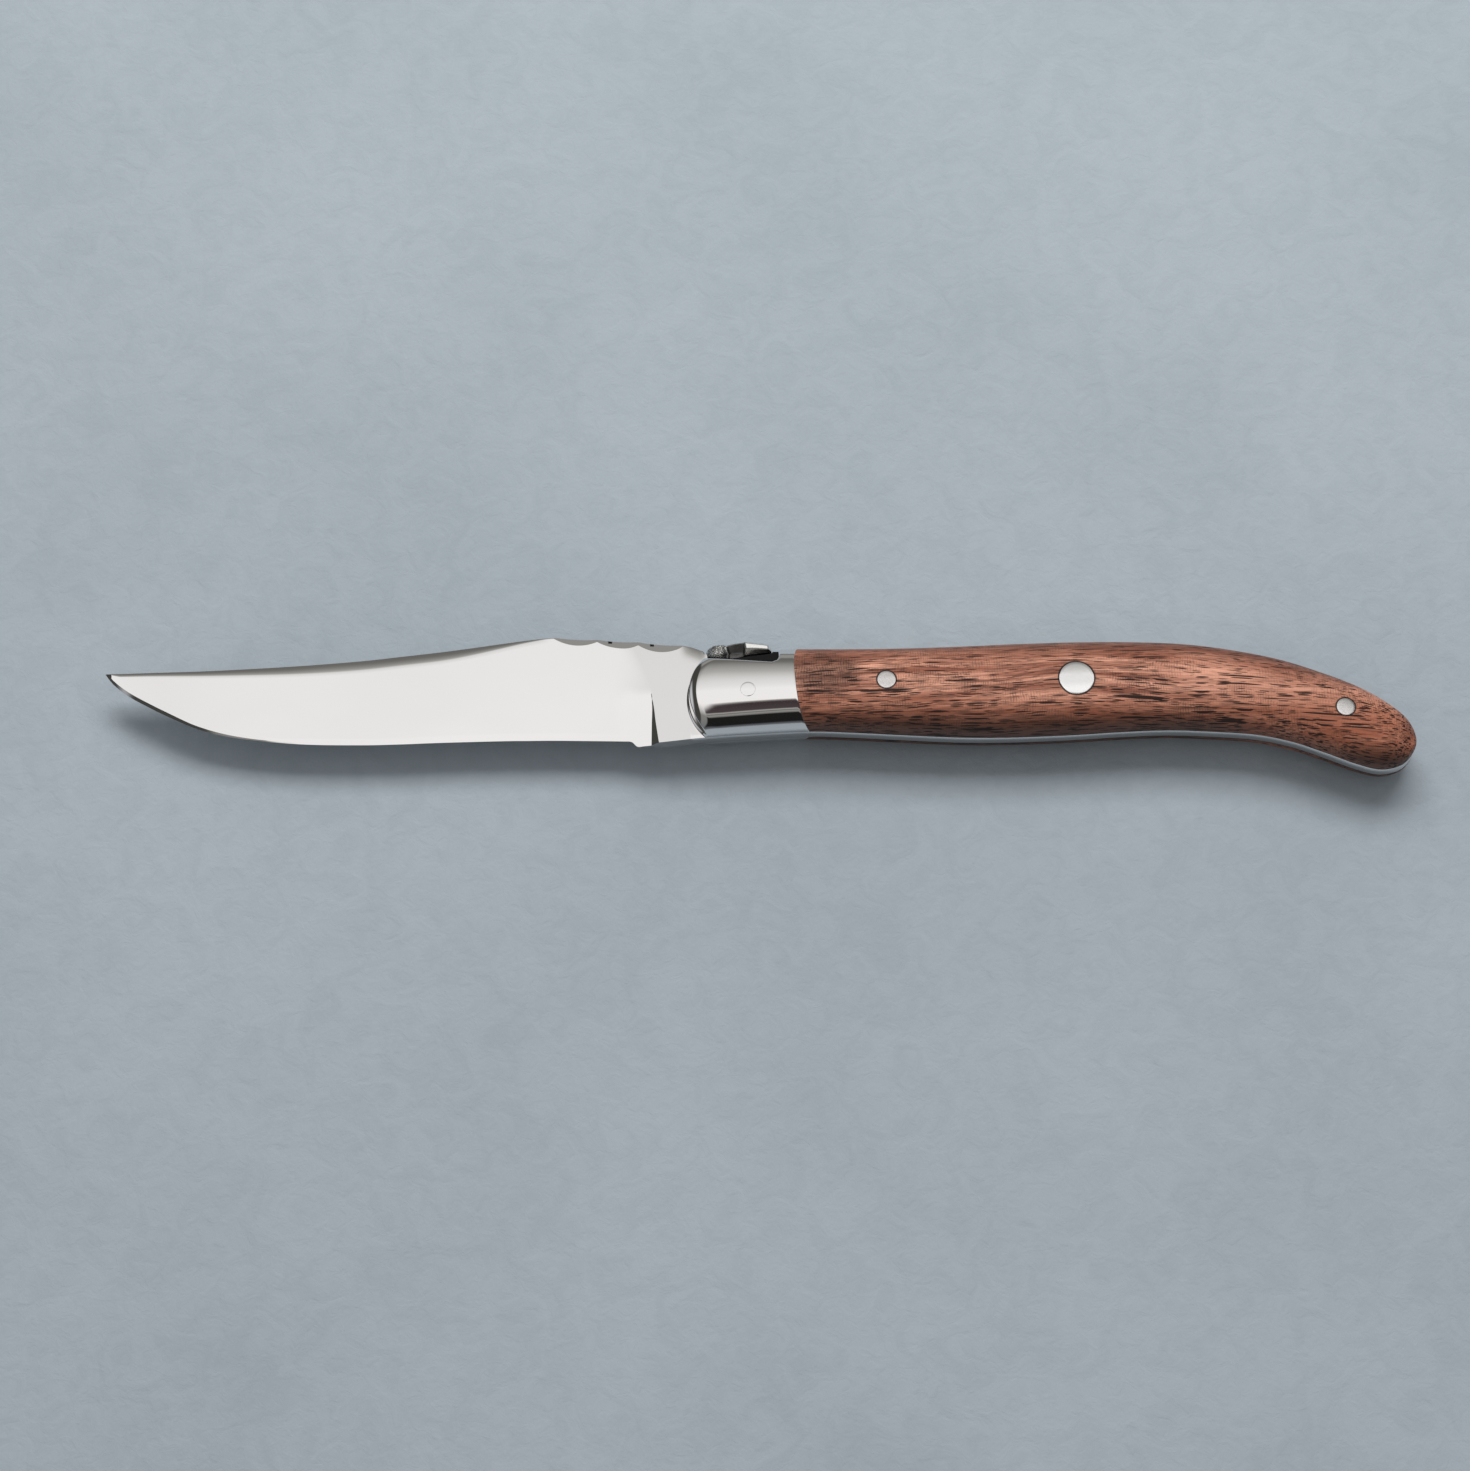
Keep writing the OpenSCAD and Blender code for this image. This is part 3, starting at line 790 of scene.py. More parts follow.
@dataclass(frozen=True)
class OiledWood(Finish):
    """Reddish hardwood with long grain, dark pores and a cross ripple, oiled to a satin sheen, with a painted
    sheen behind the rivet and painted shade along the tang and around the pins.
    """

    # Along, across and radius of each pin
    pin_places: Rows
    light: Colour = (0.74, 0.36, 0.245)
    red: Colour = (0.27, 0.09, 0.052)
    amber: Colour = (0.31, 0.085, 0.036)
    dark: Colour = (0.05, 0.022, 0.014)
    # Colour of the pores, and of the painted shade along the tang and around the pins
    pore_and_gap_shade: Colour = (0.016, 0.007, 0.006)
    # Cells per millimetre along and across the grain, and the least and the added size of a pore in its cell
    pores: Rows = ((0.065, 1.8, 0.04, 0.29), (0.15, 2.8, 0.1, 0.28), (0.28, 4.2, 0.14, 0.27))
    # Size of all pores, and what they gain near the belly and where the wood is darker
    pore_gains: Row = (0.9, 0.3, 0.9)
    # Heights between which the gain near the belly fades, how rare large pores are and how soft their rims
    pore_y: Row = (-4.0, 5.0)
    pore_rarity: float = 1.6
    pore_rim: float = 0.045
    ripple_pitch: float = 0.45
    # Patches of each noise in a millimetre, and the values between which it comes to count in full
    streak_scale: Row = (0.04, 0.75, 0.75)
    streak_span: Row = (0.34, 0.64)
    fibre_scale: Row = (0.22, 4.5, 4.5)
    fibre_span: Row = (0.44, 0.62)
    drift_scale: Row = (0.035, 0.14, 0.14)
    drift_span: Row = (0.52, 0.74)
    wave_scale: Row = (0.022, 0.05, 0.05)
    patch_scale: Row = (0.13, 0.26, 0.26)
    patch_span: Row = (0.4, 0.66)
    break_scale: Row = (0.9, 1.6, 1.6)
    break_span: Row = (0.34, 0.62)
    # How much each layer of colour covers at most
    amber_cover: float = 0.65
    red_cover: float = 0.65
    dark_cover: float = 0.5
    fibre_cover: float = 0.62
    drift_cover: float = 0.35
    butt_cover: float = 0.35
    ripple_cover: float = 0.75
    pore_cover: float = 0.97
    # The next two are painted shade, along the tang and around the pins
    tang_cover: float = 0.7
    pin_cover: float = 0.9
    # How far the hooked end lies below the rest of the handle, its length and its share behind the full drop
    hook_drop: float = 6.0
    hook_len: float = 42.0
    hook_share: float = 0.2
    # Where the ripple shows most, behind the bolster: its middle and its reach
    ripple_spot: Row = (126.5, 3.0)
    ripple_reach: Row = (8.0, 5.5)
    # Patches and weight of the noise that frays it, and where it fades and ends, by its reach squared
    spot_scale: Row = (0.3, 0.5, 0.5)
    spot_fray: float = 0.5
    spot_span: Row = (0.45, 1.25)
    # How far the ripple is distorted, and how much of it shows beside the patches and more in them
    ripple_twist: float = 16.0
    ripple_shown: Row = (0.12, 0.6)
    # Where the painted sheen lightens the wood behind the rivet: along it, and its lower and upper ends
    sheen_x: Row = (176.0, 196.0)
    sheen_low: Row = (-3.0, 0.5)
    sheen_high: Row = (4.5, 7.5)
    # What the painted sheen takes from streaks and fibres, and the dark of belly and spot, plain and by the
    # drift
    sheen_takes: Row = (0.5, 0.25)
    belly_dark: Row = (0.55, 0.5)
    spot_dark: Row = (0.3, 0.5)
    # Heights between which the low side's amber, the high side's two darks and the belly's dark change
    amber_y: Row = (-5.0, 0.0)
    reddened_y: Row = (3.4, 7.5)
    darkened_y: Row = (5.4, 9.0)
    belly_y: Row = (-7.0, -2.6)
    butt_len: float = 6.0
    # How far the grain waves and climbs, and the middle and the length of its climb
    wave: float = 5.0
    climb: float = 3.5
    climb_middle: float = 42.0
    climb_len: float = 60.0
    # Width of the painted shade along the tang, and where the painted shade around a pin starts and ends
    tang_shade_w: float = 0.22
    pin_shade_span: Row = (0.1, 0.3)
    # Roughness of the plain wood, and what streaks and pores add to it
    roughs: Row = (0.4, 0.16, 0.3)
    # Depth of the pores in metres, and by it the height of the fibres and the depth of the ripple
    dent_depth: float = 7e-5
    fibre_height: float = 0.1
    ripple_depth: float = 0.16

    def inputs(self, nodes: Nodes) -> dict:
        """Gives what goes into the shader, as Finish.inputs says."""
        place = nodes.millimetres()
        x, y, z = nodes.split(place)
        grain = self._grain(nodes, place, x)
        drift = nodes.stretched(self.drift_scale, 2.0, 0.5)
        streaks = nodes.cloud(nodes.vectors("MULTIPLY", grain, self.streak_scale), 1.0, 5.0, 0.62, 0.3)
        fibres = nodes.cloud(nodes.vectors("MULTIPLY", grain, self.fibre_scale), 1.0, 3.0, 0.6)
        end = FORM.blade_len + FORM.handle_len
        above = y + self.hook_drop * x.over(end - self.hook_len, end - self.hook_share * self.hook_len)
        # Painted sheen: behind the rivet the wood is lightened, as if lit, by holding back its streaks and
        # fibres
        painted_sheen = x.over(*self.sheen_x) * above.over(*self.sheen_low) * (1 - above.over(*self.sheen_high))
        spot = self._spot(nodes, x, y)
        pores = self._pores(nodes, grain, y, drift)
        ripple = self._ripple(nodes, place, spot)
        belly_dark, spot_dark = (plain + more * drift for plain, more in (self.belly_dark, self.spot_dark))
        belly = (1 - above.over(*self.belly_y)) * belly_dark
        butt = x.over(end - self.butt_len, end) * self.butt_cover
        streaks_lose, fibres_lose = self.sheen_takes
        colour = self.light
        for amount, other in (
            (streaks.over(*self.streak_span) * (1 - streaks_lose * painted_sheen), self.red),
            ((1 - y.over(*self.amber_y)) * self.amber_cover, self.amber),
            (above.over(*self.reddened_y) * self.red_cover, self.red),
            (above.over(*self.darkened_y) * self.dark_cover, self.dark),
            (fibres.over(*self.fibre_span) * (self.fibre_cover - fibres_lose * painted_sheen), self.dark),
            (drift.over(*self.drift_span) * self.drift_cover, self.red),
            (belly.most(spot * spot_dark).most(butt), self.dark),
            (ripple * self.ripple_cover, self.dark),
            # Pores are the wood's own; the dark along the tang and around the pins is painted shade
            ((pores * self.pore_cover).most(self._gap_shade(x, y, z)), self.pore_and_gap_shade),
        ):
            colour = nodes.blend(amount, colour, other)
        plain, streaked, pored = self.roughs
        height = 1 - pores + self.fibre_height * fibres - self.ripple_depth * ripple
        return {"Base Color": colour, "Roughness": plain + streaked * streaks + pored * pores,
                "Coat Weight": 0.1, "Coat Roughness": 0.3,
                "Normal": nodes.dent(height, self.dent_depth)}

    def _grain(self, nodes: Nodes, place: Socket, x: Signal) -> Socket:
        """Bends the coordinates, so that the grain waves a little and climbs toward the middle."""
        away = (x - (FORM.joint_x + self.climb_middle)) / self.climb_len
        shift = self.wave * nodes.stretched(self.wave_scale, 2.0, 0.5) + self.climb * away * away
        return nodes.vectors("ADD", place, nodes.node("CombineXYZ", {1: shift}).outputs[0])

    def _pores(self, nodes: Nodes, grain: Socket, y: Signal, drift: Signal) -> Signal:
        """Gives the dark pores that run along the grain, short ones and long ones.

        Args:
            nodes: adds nodes to the material's tree.
            grain: the bent coordinates.
            y: the height.
            drift: the noise that makes the wood darker in places.

        Returns:
            1 in a pore and 0 beside it.
        """
        total = 0.0
        plain, low, dark = self.pore_gains
        more = plain + low * (1 - y.over(*self.pore_y)) + dark * (drift - 0.5)
        for along, across, least, added in self.pores:
            where = nodes.vectors("MULTIPLY", grain, (along, across, across))
            cells = nodes.node("TexVoronoi", {"Vector": where, "Scale": 1.0}, feature="F1")
            chance = nodes.signals(nodes.node("SeparateColor", {0: cells.outputs["Color"]}))[0]
            size = (least + added * chance ** self.pore_rarity) * more
            dashes = (size - nodes.signals(cells)[0]).over(0.0, self.pore_rim)
            total = dashes.most(total)
        return total

    def _spot(self, nodes: Nodes, x: Signal, y: Signal) -> Signal:
        """Gives 1 in the middle of the dark rippled spot and 0 outside it.

        Args:
            nodes: adds nodes to the material's tree.
            x: the place along the knife.
            y: the height.

        Returns:
            The spot.
        """
        along, across = ((at - middle) / reach for at, middle, reach in zip(
            (x, y), self.ripple_spot, self.ripple_reach))
        edge = self.spot_fray * nodes.stretched(self.spot_scale, 3.0, 0.6)
        return 1 - (along * along + across * across + edge).over(*self.spot_span)

    def _ripple(self, nodes: Nodes, place: Socket, spot: Signal) -> Signal:
        """Gives the fine bands across the grain, which come and go.

        Args:
            nodes: adds nodes to the material's tree.
            place: the coordinates in millimetres.
            spot: where the bands show most.

        Returns:
            1 in a band and 0 beside it.
        """
        bands = nodes.node("TexWave", {
            "Vector": place, "Scale": math.tau / 20 / self.ripple_pitch, "Distortion": self.ripple_twist,
            "Detail": 3.0, "Detail Scale": 0.2, "Detail Roughness": 0.55},
            wave_type="BANDS", bands_direction="X")
        patches = nodes.stretched(self.patch_scale, 2.0, 0.5).over(*self.patch_span)
        breaks = nodes.stretched(self.break_scale, 2.0, 0.6).over(*self.break_span)
        beside, inside = self.ripple_shown
        return nodes.signals(bands)[1] * breaks * (patches * inside + beside).most(spot)

    def _gap_shade(self, x: Signal, y: Signal, z: Signal) -> Signal:
        """Gives 1 where shade is painted, in the gaps along the tang and around the pins.

        Args:
            x: the place along the knife.
            y: the height.
            z: the distance from the middle of the tang.

        Returns:
            The dirt.
        """
        total = (1 - (abs(z) - FORM.half_stock).over(0.0, self.tang_shade_w)) * self.tang_cover
        for pin_x, pin_y, radius in self.pin_places:
            away = ((x - pin_x) ** 2 + (y - pin_y) ** 2) ** 0.5
            total = total.most((1 - away.over(*(radius + part for part in self.pin_shade_span))) * self.pin_cover)
        return total


@dataclass(frozen=True)
class PaperFloor(Finish):
    """Blue grey card with a fine tooth."""

    colour: Colour = (0.36, 0.404, 0.438)
    shade: Colour = (0.31, 0.352, 0.384)
    # Patches in a metre of the card's tooth, flecks and stains, and the tooth's depth in metres
    tooth_scale: float = 420.0
    fleck_scale: float = 160.0
    stain_scale: float = 14.0
    tooth_depth: float = 1.6e-4
    # Where stains and flecks start and are full, and how much each of them shades
    stain_span: Row = (0.3, 0.7)
    fleck_span: Row = (0.35, 0.7)
    stain_cover: float = 0.6
    fleck_cover: float = 0.4

    def inputs(self, nodes: Nodes) -> dict:
        """Gives what goes into the shader, as Finish.inputs says."""
        place = nodes.node("TexCoord").outputs["Object"]
        tooth = nodes.cloud(place, self.tooth_scale, 5.0, 0.65, 0.8)
        flecks = nodes.cloud(place, self.fleck_scale, 4.0, 0.6, 1.2)
        stains = nodes.cloud(place, self.stain_scale, 3.0, 0.5)
        stained, flecked = stains.over(*self.stain_span), flecks.over(*self.fleck_span)
        shade = stained * self.stain_cover + flecked * self.fleck_cover
        return {"Base Color": nodes.blend(shade, self.colour, self.shade), "Roughness": 0.8,
                "Normal": nodes.dent(tooth + flecks, self.tooth_depth)}


@dataclass
class Piece:
    """One piece of the knife, which stands for one node of the frame."""

    node: str
    slot: Slot
    # Edges bent by more than this many degrees stay sharp
    crease: ClassVar[float] = 30.0

    def build(self) -> bpy.types.Object:
        """Makes the piece, as its subclass says."""
        raise NotImplementedError

    def place(self, finish: bpy.types.Material) -> None:
        """Builds the piece, shades it, gives it its finish and puts it in its node's place.

        Args:
            finish: its material.
        """
        piece = self.build()
        piece.data.shade_smooth()
        piece.data.set_sharp_from_angle(angle=math.radians(self.crease))
        piece.data.materials.clear()
        piece.data.materials.append(finish)
        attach(piece, ROOT)
        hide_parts(self.node)
        log.info("%s stands for %s with %d faces", piece.name, self.node, len(piece.data.polygons))


@dataclass
class Blade(Piece):
    """The bar of steel that is blade, ricasso and full tang in one."""

    crease = 24.0
    cap: "SpineCap"
    # Along, across and radius of each bore
    bores: Rows
    tip_t: float = 0.9
    # How far back from the tip the bar thins to its point, and what is left of it there
    point_len: float = 1.1
    point_share: float = 0.35
    # Thickness behind the sharpened bevel, at the tip and further on, and the places between which it changes
    edge_ts: Row = (0.8, 0.3)
    edge_places: Row = (8.0, 27.0)
    # Place, width and slope of the sharpened bevel
    bevel_rows: Rows = (
        (0, 0.6, 0.6), (11, 0.6, 0.6), (16, 0.45, 0.75), (22, 0.3, 0.8), (27, 0.2, 0.7), (31, 0.2, 0.3),
        (37, 0.6, 0.13))
    keen_t: float = 0.06
    # Where the sharpened bevel runs out before the heel
    dull_places: Row = (90.5, 93.2)
    # The false edge: its width, its share at the tip, where it grows and fades, and its depth by its width
    swedge_w: float = 2.1
    swedge_tip_share: float = 0.36
    swedge_shares: Row = (0, 0.45, 0.56, 0.82)
    swedge_slope: float = 0.33
    # The least part of the spine's thickness that it leaves, and the most of the height that it takes
    swedge_rest: float = 0.3
    swedge_most: float = 0.25
    swedge_power: float = 1.35
    swedge_steps: Row = (0.25, 0.5, 0.75, 0.9, 1.0)
    corner_r: float = 0.14
    hidden_r: float = 0.02
    # Where the middle row of a round corner lies, and the least space of the rows behind it, by its radius
    round_share: float = 0.3
    # The hollow before the plunge, its start and end along the blade from spine to edge
    hollow_start: Row = (89.2, 89.5, 89.4, 89.3, 89.8, 91.0)
    hollow_end: Row = (92.5, 94.3, 95.8, 96.4, 96.38, 96.35)
    # The steep facet behind it: where its point is, how it widens, and its width at the edge and at its least
    facet_tip_share: float = 0.5
    facet_power: float = 1.2
    facet_w: float = 1.33
    facet_least_w: float = 0.12
    ricasso_x: float = 99.6
    scallop_count: int = 3
    scallop_pitch: float = 7.4
    scallop_lead: float = 4.4
    scallop_reach: float = 4.8
    scallop_drop: float = 1.7
    scallop_bite: float = 0.85
    notch_r: float = 0.28
    notch_sink: float = 0.22
    notch_depth: float = 0.75
    notch_lead: float = 1.8
    # Where the round of the shoulder's sides starts, is full, fades and ends, its depth and its reach
    dip_places: Row = (100.8, 103.4, 105.0, 105.9)
    dip_depth: float = 0.4
    dip_reach: float = 2.6
    # From the spine to the seat, as shares of the shoulder's length and height
    shoulder_shares: Rows = ((1, 1), (0.56, 0.88), (0.2, 0.62), (0, 0.25), (0, 0))
    shoulder_steps: int = 16
    seat_steps: int = 4
    # Columns up to the hollow, in it, on the facet, up to the ricasso's middle and behind that
    stretch_columns: tuple[int, ...] = (190, 36, 6, 12, 16)
    # How the first of them crowd toward the tip, and how the spine's thickness grows there
    crowding: float = 1.35
    taper_power: float = 0.6
    flat_rows: int = 22
    under_bolster: int = 8
    along_handle: int = 250
    # What is left off at the very tip and the very butt, where all rows would meet
    tip_gap: float = 0.05
    butt_gap: float = 0.02
    clear: float = 2.0
    file_len: float = 8.0
    file_facets: int = 360
    notch_facets: int = 24
    # Corners of the pocket's box of painted shade, and how far a notch's one reaches to its sides, down, up
    # and inward
    pocket_shade_box: tuple[Row, Row] = ((106.0, 5.2, -3.0), (118.8, 12.0, 3.0))
    notch_shade_reach: Row = (0.42, 0.62, 1.0, 3.0)

    def build(self) -> bpy.types.Object:
        """Makes the bar and cuts the file work and the bores."""
        bm = bmesh.new()
        half = FORM.half_stock
        tang = self._tang_pairs()
        ground = sum(self.stretch_columns)
        # The share of the height that each row has at the plunge
        top, bottom = FORM.blade_at(self.hollow_end[-1])
        heights = [down / (top - bottom)
                   for down, _ in self._rows(top - bottom, half, half, half, 0.0, self.hollow_end[-1])]
        rows = len(heights)
        turns = 2 * rows
        columns = ground + len(tang)

        def place(u: float, w: float) -> Vector:
            """Gives the bar's point from the shares along and around it."""
            column, k = round(u * columns), round(w * turns) % turns
            side, row = (1, k) if k < rows else (-1, turns - 1 - k)
            if column <= ground:
                return self._blade_point(column, row, heights, side)
            start, end = tang[column - ground - 1]
            length = math.dist(start, end)
            down, level = self._rows(length, half, half, half, 0.0, ease=(
                self.hidden_r if start[0] < FORM.joint_x else self.corner_r))[row]
            level -= self._dip(start[0], down)
            return BENCH.put(*(mix(a, b, down / length) for a, b in zip(start, end)), side * level)

        lay_patch(bm, columns, turns, place)
        close_up(bm)
        piece = new_object("blade_and_tang", bm)
        drills = [rod(x, y, 0, radius, 3 * half) for x, y, radius in self.bores]
        cut_with(piece, [self._seat(), *self._files(), *drills])
        return piece

    def painted_shade_boxes(self) -> tuple[tuple[Row, Row], ...]:
        """Gives the lowest and the highest corner of each hollow that is painted dark as painted shade."""
        side, down, up, deep = self.notch_shade_reach
        notches = [self.notch(k) for k in range(self.scallop_count - 1)]
        return self.pocket_shade_box, *(
            ((x - side, y - down, -deep), (x + side, y + up, deep)) for x, y in notches)

    def _plunge(self, v: float) -> Row:
        """Gives the plunge at height v, from the spine at 0 to the edge at 1.

        Args:
            v: the height.

        Returns:
            Where the hollow starts and ends, how much there is of the steep facet, and its width.
        """
        start, end = (curve_at([(a,) for a in line], clamp(v) * (len(line) - 1))[0]
                      for line in (self.hollow_start, self.hollow_end))
        share = clamp((v - self.facet_tip_share) / (1 - self.facet_tip_share)) ** self.facet_power
        return start, end, share, max(self.facet_least_w, self.facet_w * share)

    def _blade_point(self, column: int, row: int, heights: Sequence[float], side: int) -> Vector:
        """Gives a point of the ground blade, on one of its columns and rows.

        Args:
            column: the column, counted from the tip.
            row: the row, counted from the spine.
            heights: each row's share of the height at the plunge.
            side: 1 for the right side and -1 for the left.

        Returns:
            The point in the frame.
        """
        x = self._column_x(column, heights[row])
        top, bottom = FORM.blade_at(x)
        w = top - bottom
        spine = mix(self.tip_t / 2, FORM.half_stock, min(1.0, (x / self.ricasso_x) ** self.taper_power))
        swedge = min(self.swedge_w * self._swedge(x), w * self.swedge_most)
        edge = mix(*self.edge_ts, smooth(x, *self.edge_places)) / 2
        point = mix(self.point_share, 1, clamp(x / self.point_len))
        spine, edge = point * spine, point * edge
        corner = max(self.swedge_rest * spine, spine - self.swedge_slope * swedge)
        down, level = self._rows(w, corner, spine, edge, swedge, x)[row]
        return BENCH.put(x, top - down, side * (level - self._dip(x, down)))

    def _column_x(self, index: int, v: float) -> float:
        """Gives the place along the blade of a column, which leans with the plunge near it.

        Args:
            index: the column, counted from the tip.
            v: the height, from the spine at 0 to the edge at 1.

        Returns:
            The place in millimetres from the tip.
        """
        hollow, end, _, facet_w = self._plunge(v)
        ends = (hollow, end, end + facet_w, self.ricasso_x, FORM.blade_rows[-1][0])
        start_x, start = self.tip_gap, 0
        for end_x, count in zip(ends, self.stretch_columns):
            if index <= start + count:
                f = (index - start) / count
                return mix(start_x, end_x, f ** self.crowding if start == 0 else f)
            start_x, start = end_x, start + count
        return start_x

    def _swedge(self, x: float) -> float:
        """Gives how much of the false edge there is at x, from 0 to 1.

        Args:
            x: the place along the blade.

        Returns:
            Its share of the full width.
        """
        start, widest, narrowing, end = self.swedge_shares
        f = x / FORM.blade_len
        if f < widest:
            return mix(self.swedge_tip_share, 1, smooth(f, start, widest))
        return smooth(f, end, narrowing)

    def _dip(self, x: float, down: float) -> float:
        """Gives how deep the side is rounded off below the top of the shoulder."""
        start, full, fading, end = self.dip_places
        along = smooth(x, start, full) * smooth(x, end, fading)
        return self.dip_depth * along * max(0.0, 1 - down / self.dip_reach) ** 2

    def _ground(self, x: float, v: float, spine: float, edge: float) -> float:
        """Gives half of the thickness at x and height v.

        Args:
            x: the place along the blade.
            v: the height, from the spine at 0 to the edge at 1.
            spine: half of the thickness at the spine.
            edge: half of it behind the sharpened edge.

        Returns:
            Half of the thickness.
        """
        start, end, share, facet_w = self._plunge(v)
        wedge = mix(spine, edge, v)
        steep = share * (FORM.half_stock - edge)
        hollow = (FORM.half_stock - wedge - steep) * smooth(x, start, end)
        return wedge + hollow + steep * clamp((x - end) / facet_w)

    def _rows(self, w: float, corner: float, spine: float, edge: float, swedge: float,
              x: float = -1.0, ease: float | None = None) -> list[tuple[float, float]]:
        """Gives one side of a section as places below the spine and half thicknesses there.

        Args:
            w: the section's height.
            corner: half of the thickness at the very spine.
            spine: half of the thickness that the flat side starts from.
            edge: half of the thickness behind the sharpened edge.
            swedge: the width of the false edge.
            x: the place along the blade, or less than zero in the tang.
            ease: the radius of the corners, where it isn't the usual one.

        Returns:
            The places and half thicknesses, from the spine down.
        """
        r = min(ease or self.corner_r, w / 8, corner / 2)
        bevel, slope = read_at(self.bevel_rows, x) if x >= 0 else (r, 0.0)
        bevel = min(bevel, w / 2)
        slope *= 1 - smooth(x, *self.dull_places)

        def level(down: float) -> float:
            """Gives half of the thickness at a place below the spine."""
            v = down / w if w > 0 else 0.0
            flat = self._ground(x, v, spine, edge) if x >= 0 else edge
            left = clamp(1 - down / swedge) if swedge > 0 else 0.0
            return flat - (spine - corner) * left ** self.swedge_power

        at = [max(swedge * f, r * (1 + self.round_share * (k + 1))) for k, f in enumerate(self.swedge_steps)]
        top = w - bevel
        count = self.flat_rows
        downs = [r, *at, *(mix(at[-1], top, k / count) for k in range(1, count + 1))]
        bend = self.round_share * r
        rows = [(0.0, corner - r), (bend, corner - bend), *((d, level(d)) for d in downs)]
        low = level(w)
        if x < 0:
            return [*rows, (w - bend, low - bend), (w, low - r)]
        low = max(self.keen_t / 2, low - slope * bevel)
        return [*rows, (mix(top, w, 0.5), mix(level(top), low, 0.5)), (w, low)]

    def _tang_pairs(self) -> list[tuple[Row, Row]]:
        """Gives the tang's outline as pairs of points, one on its top and one on its belly."""
        last_x, top, bottom = FORM.blade_rows[-1]
        (up_x, up_y), (low_x, low_y) = (FORM.skin(1, v)[:2] for v in (0, 1))
        count = self.under_bolster
        steps = [(k + 1) / count for k in range(count)]
        pairs = [((mix(last_x, up_x, f), mix(top, up_y, f)),
                  (mix(last_x, low_x, f), mix(bottom, low_y, f))) for f in steps]
        count = self.along_handle
        for k in range(1, count):
            t = min(FORM.gathered(mix(1, FORM.butt_place, k / count)), FORM.butt_place - self.butt_gap)
            pairs.append((FORM.skin(t, 0)[:2], FORM.skin(t, 1)[:2]))
        return pairs

    def _seat(self) -> bpy.types.Object:
        """Makes the file that cuts the rounded shoulder and the seat of the cap."""
        last_x, top, _ = FORM.blade_rows[-1]
        rows = self.cap.rows
        shoulder_x = rows[0][0] - self.cap.gap
        curve = [(mix(shoulder_x, last_x, a), mix(rows[0][1], top, b)) for a, b in self.shoulder_shares]
        last = len(curve) - 1
        shoulder = [curve_at(curve, last * k / self.shoulder_steps) for k in range(self.shoulder_steps + 1)]
        steps = self.seat_steps
        seat = [curve_at(rows, k / steps)[:2] for k in range(steps * (len(rows) - 1) + 1)]
        over = top + self.clear
        end = (FORM.pocket_x + self.clear, over)
        return slab([(last_x - self.clear, over), (last_x - self.clear / 2, top + self.clear / 10),
                     *shoulder, *seat, end], 2 * FORM.half_stock)

    def _files(self) -> list[bpy.types.Object]:
        """Makes the round files that cut the scallops and the notches."""
        tilt = math.atan(self.scallop_bite / self.scallop_drop)
        depth = self.scallop_drop * math.sin(tilt)
        radius = (self.scallop_reach ** 2 + depth ** 2) / (2 * depth)
        middle = FORM.half_stock - self.notch_depth + self.clear / 2
        made = []
        for k in range(self.scallop_count):
            x, y = self._spine_at(k, 0.0)
            for side in Side:
                turn = (Matrix.Rotation(-tilt * side.value, 4, "X")
                        @ Matrix.Translation((0, 0, (radius - depth) * side.value))
                        @ Matrix.Rotation(math.pi / 2, 4, "X"))
                made.append(rod(x, y, FORM.half_stock * side.value, radius, self.file_len, turn,
                                self.file_facets))
            if k < self.scallop_count - 1:
                x, y = self.notch(k)
                made += [rod(x, y - self.notch_sink, side.value * middle, self.notch_r, self.clear,
                             segments=self.notch_facets) for side in Side]
        return made

    def _spine_at(self, k: int, lead: float) -> tuple[float, float]:
        """Gives the point of the spine some way ahead of a scallop, counted from the bolster."""
        x = FORM.blade_len - self.scallop_lead - k * self.scallop_pitch - lead
        return x, FORM.blade_at(x)[0]

    def notch(self, k: int) -> tuple[float, float]:
        """Gives the place of a notch on the spine, counted from the bolster."""
        return self._spine_at(k, self.notch_lead)


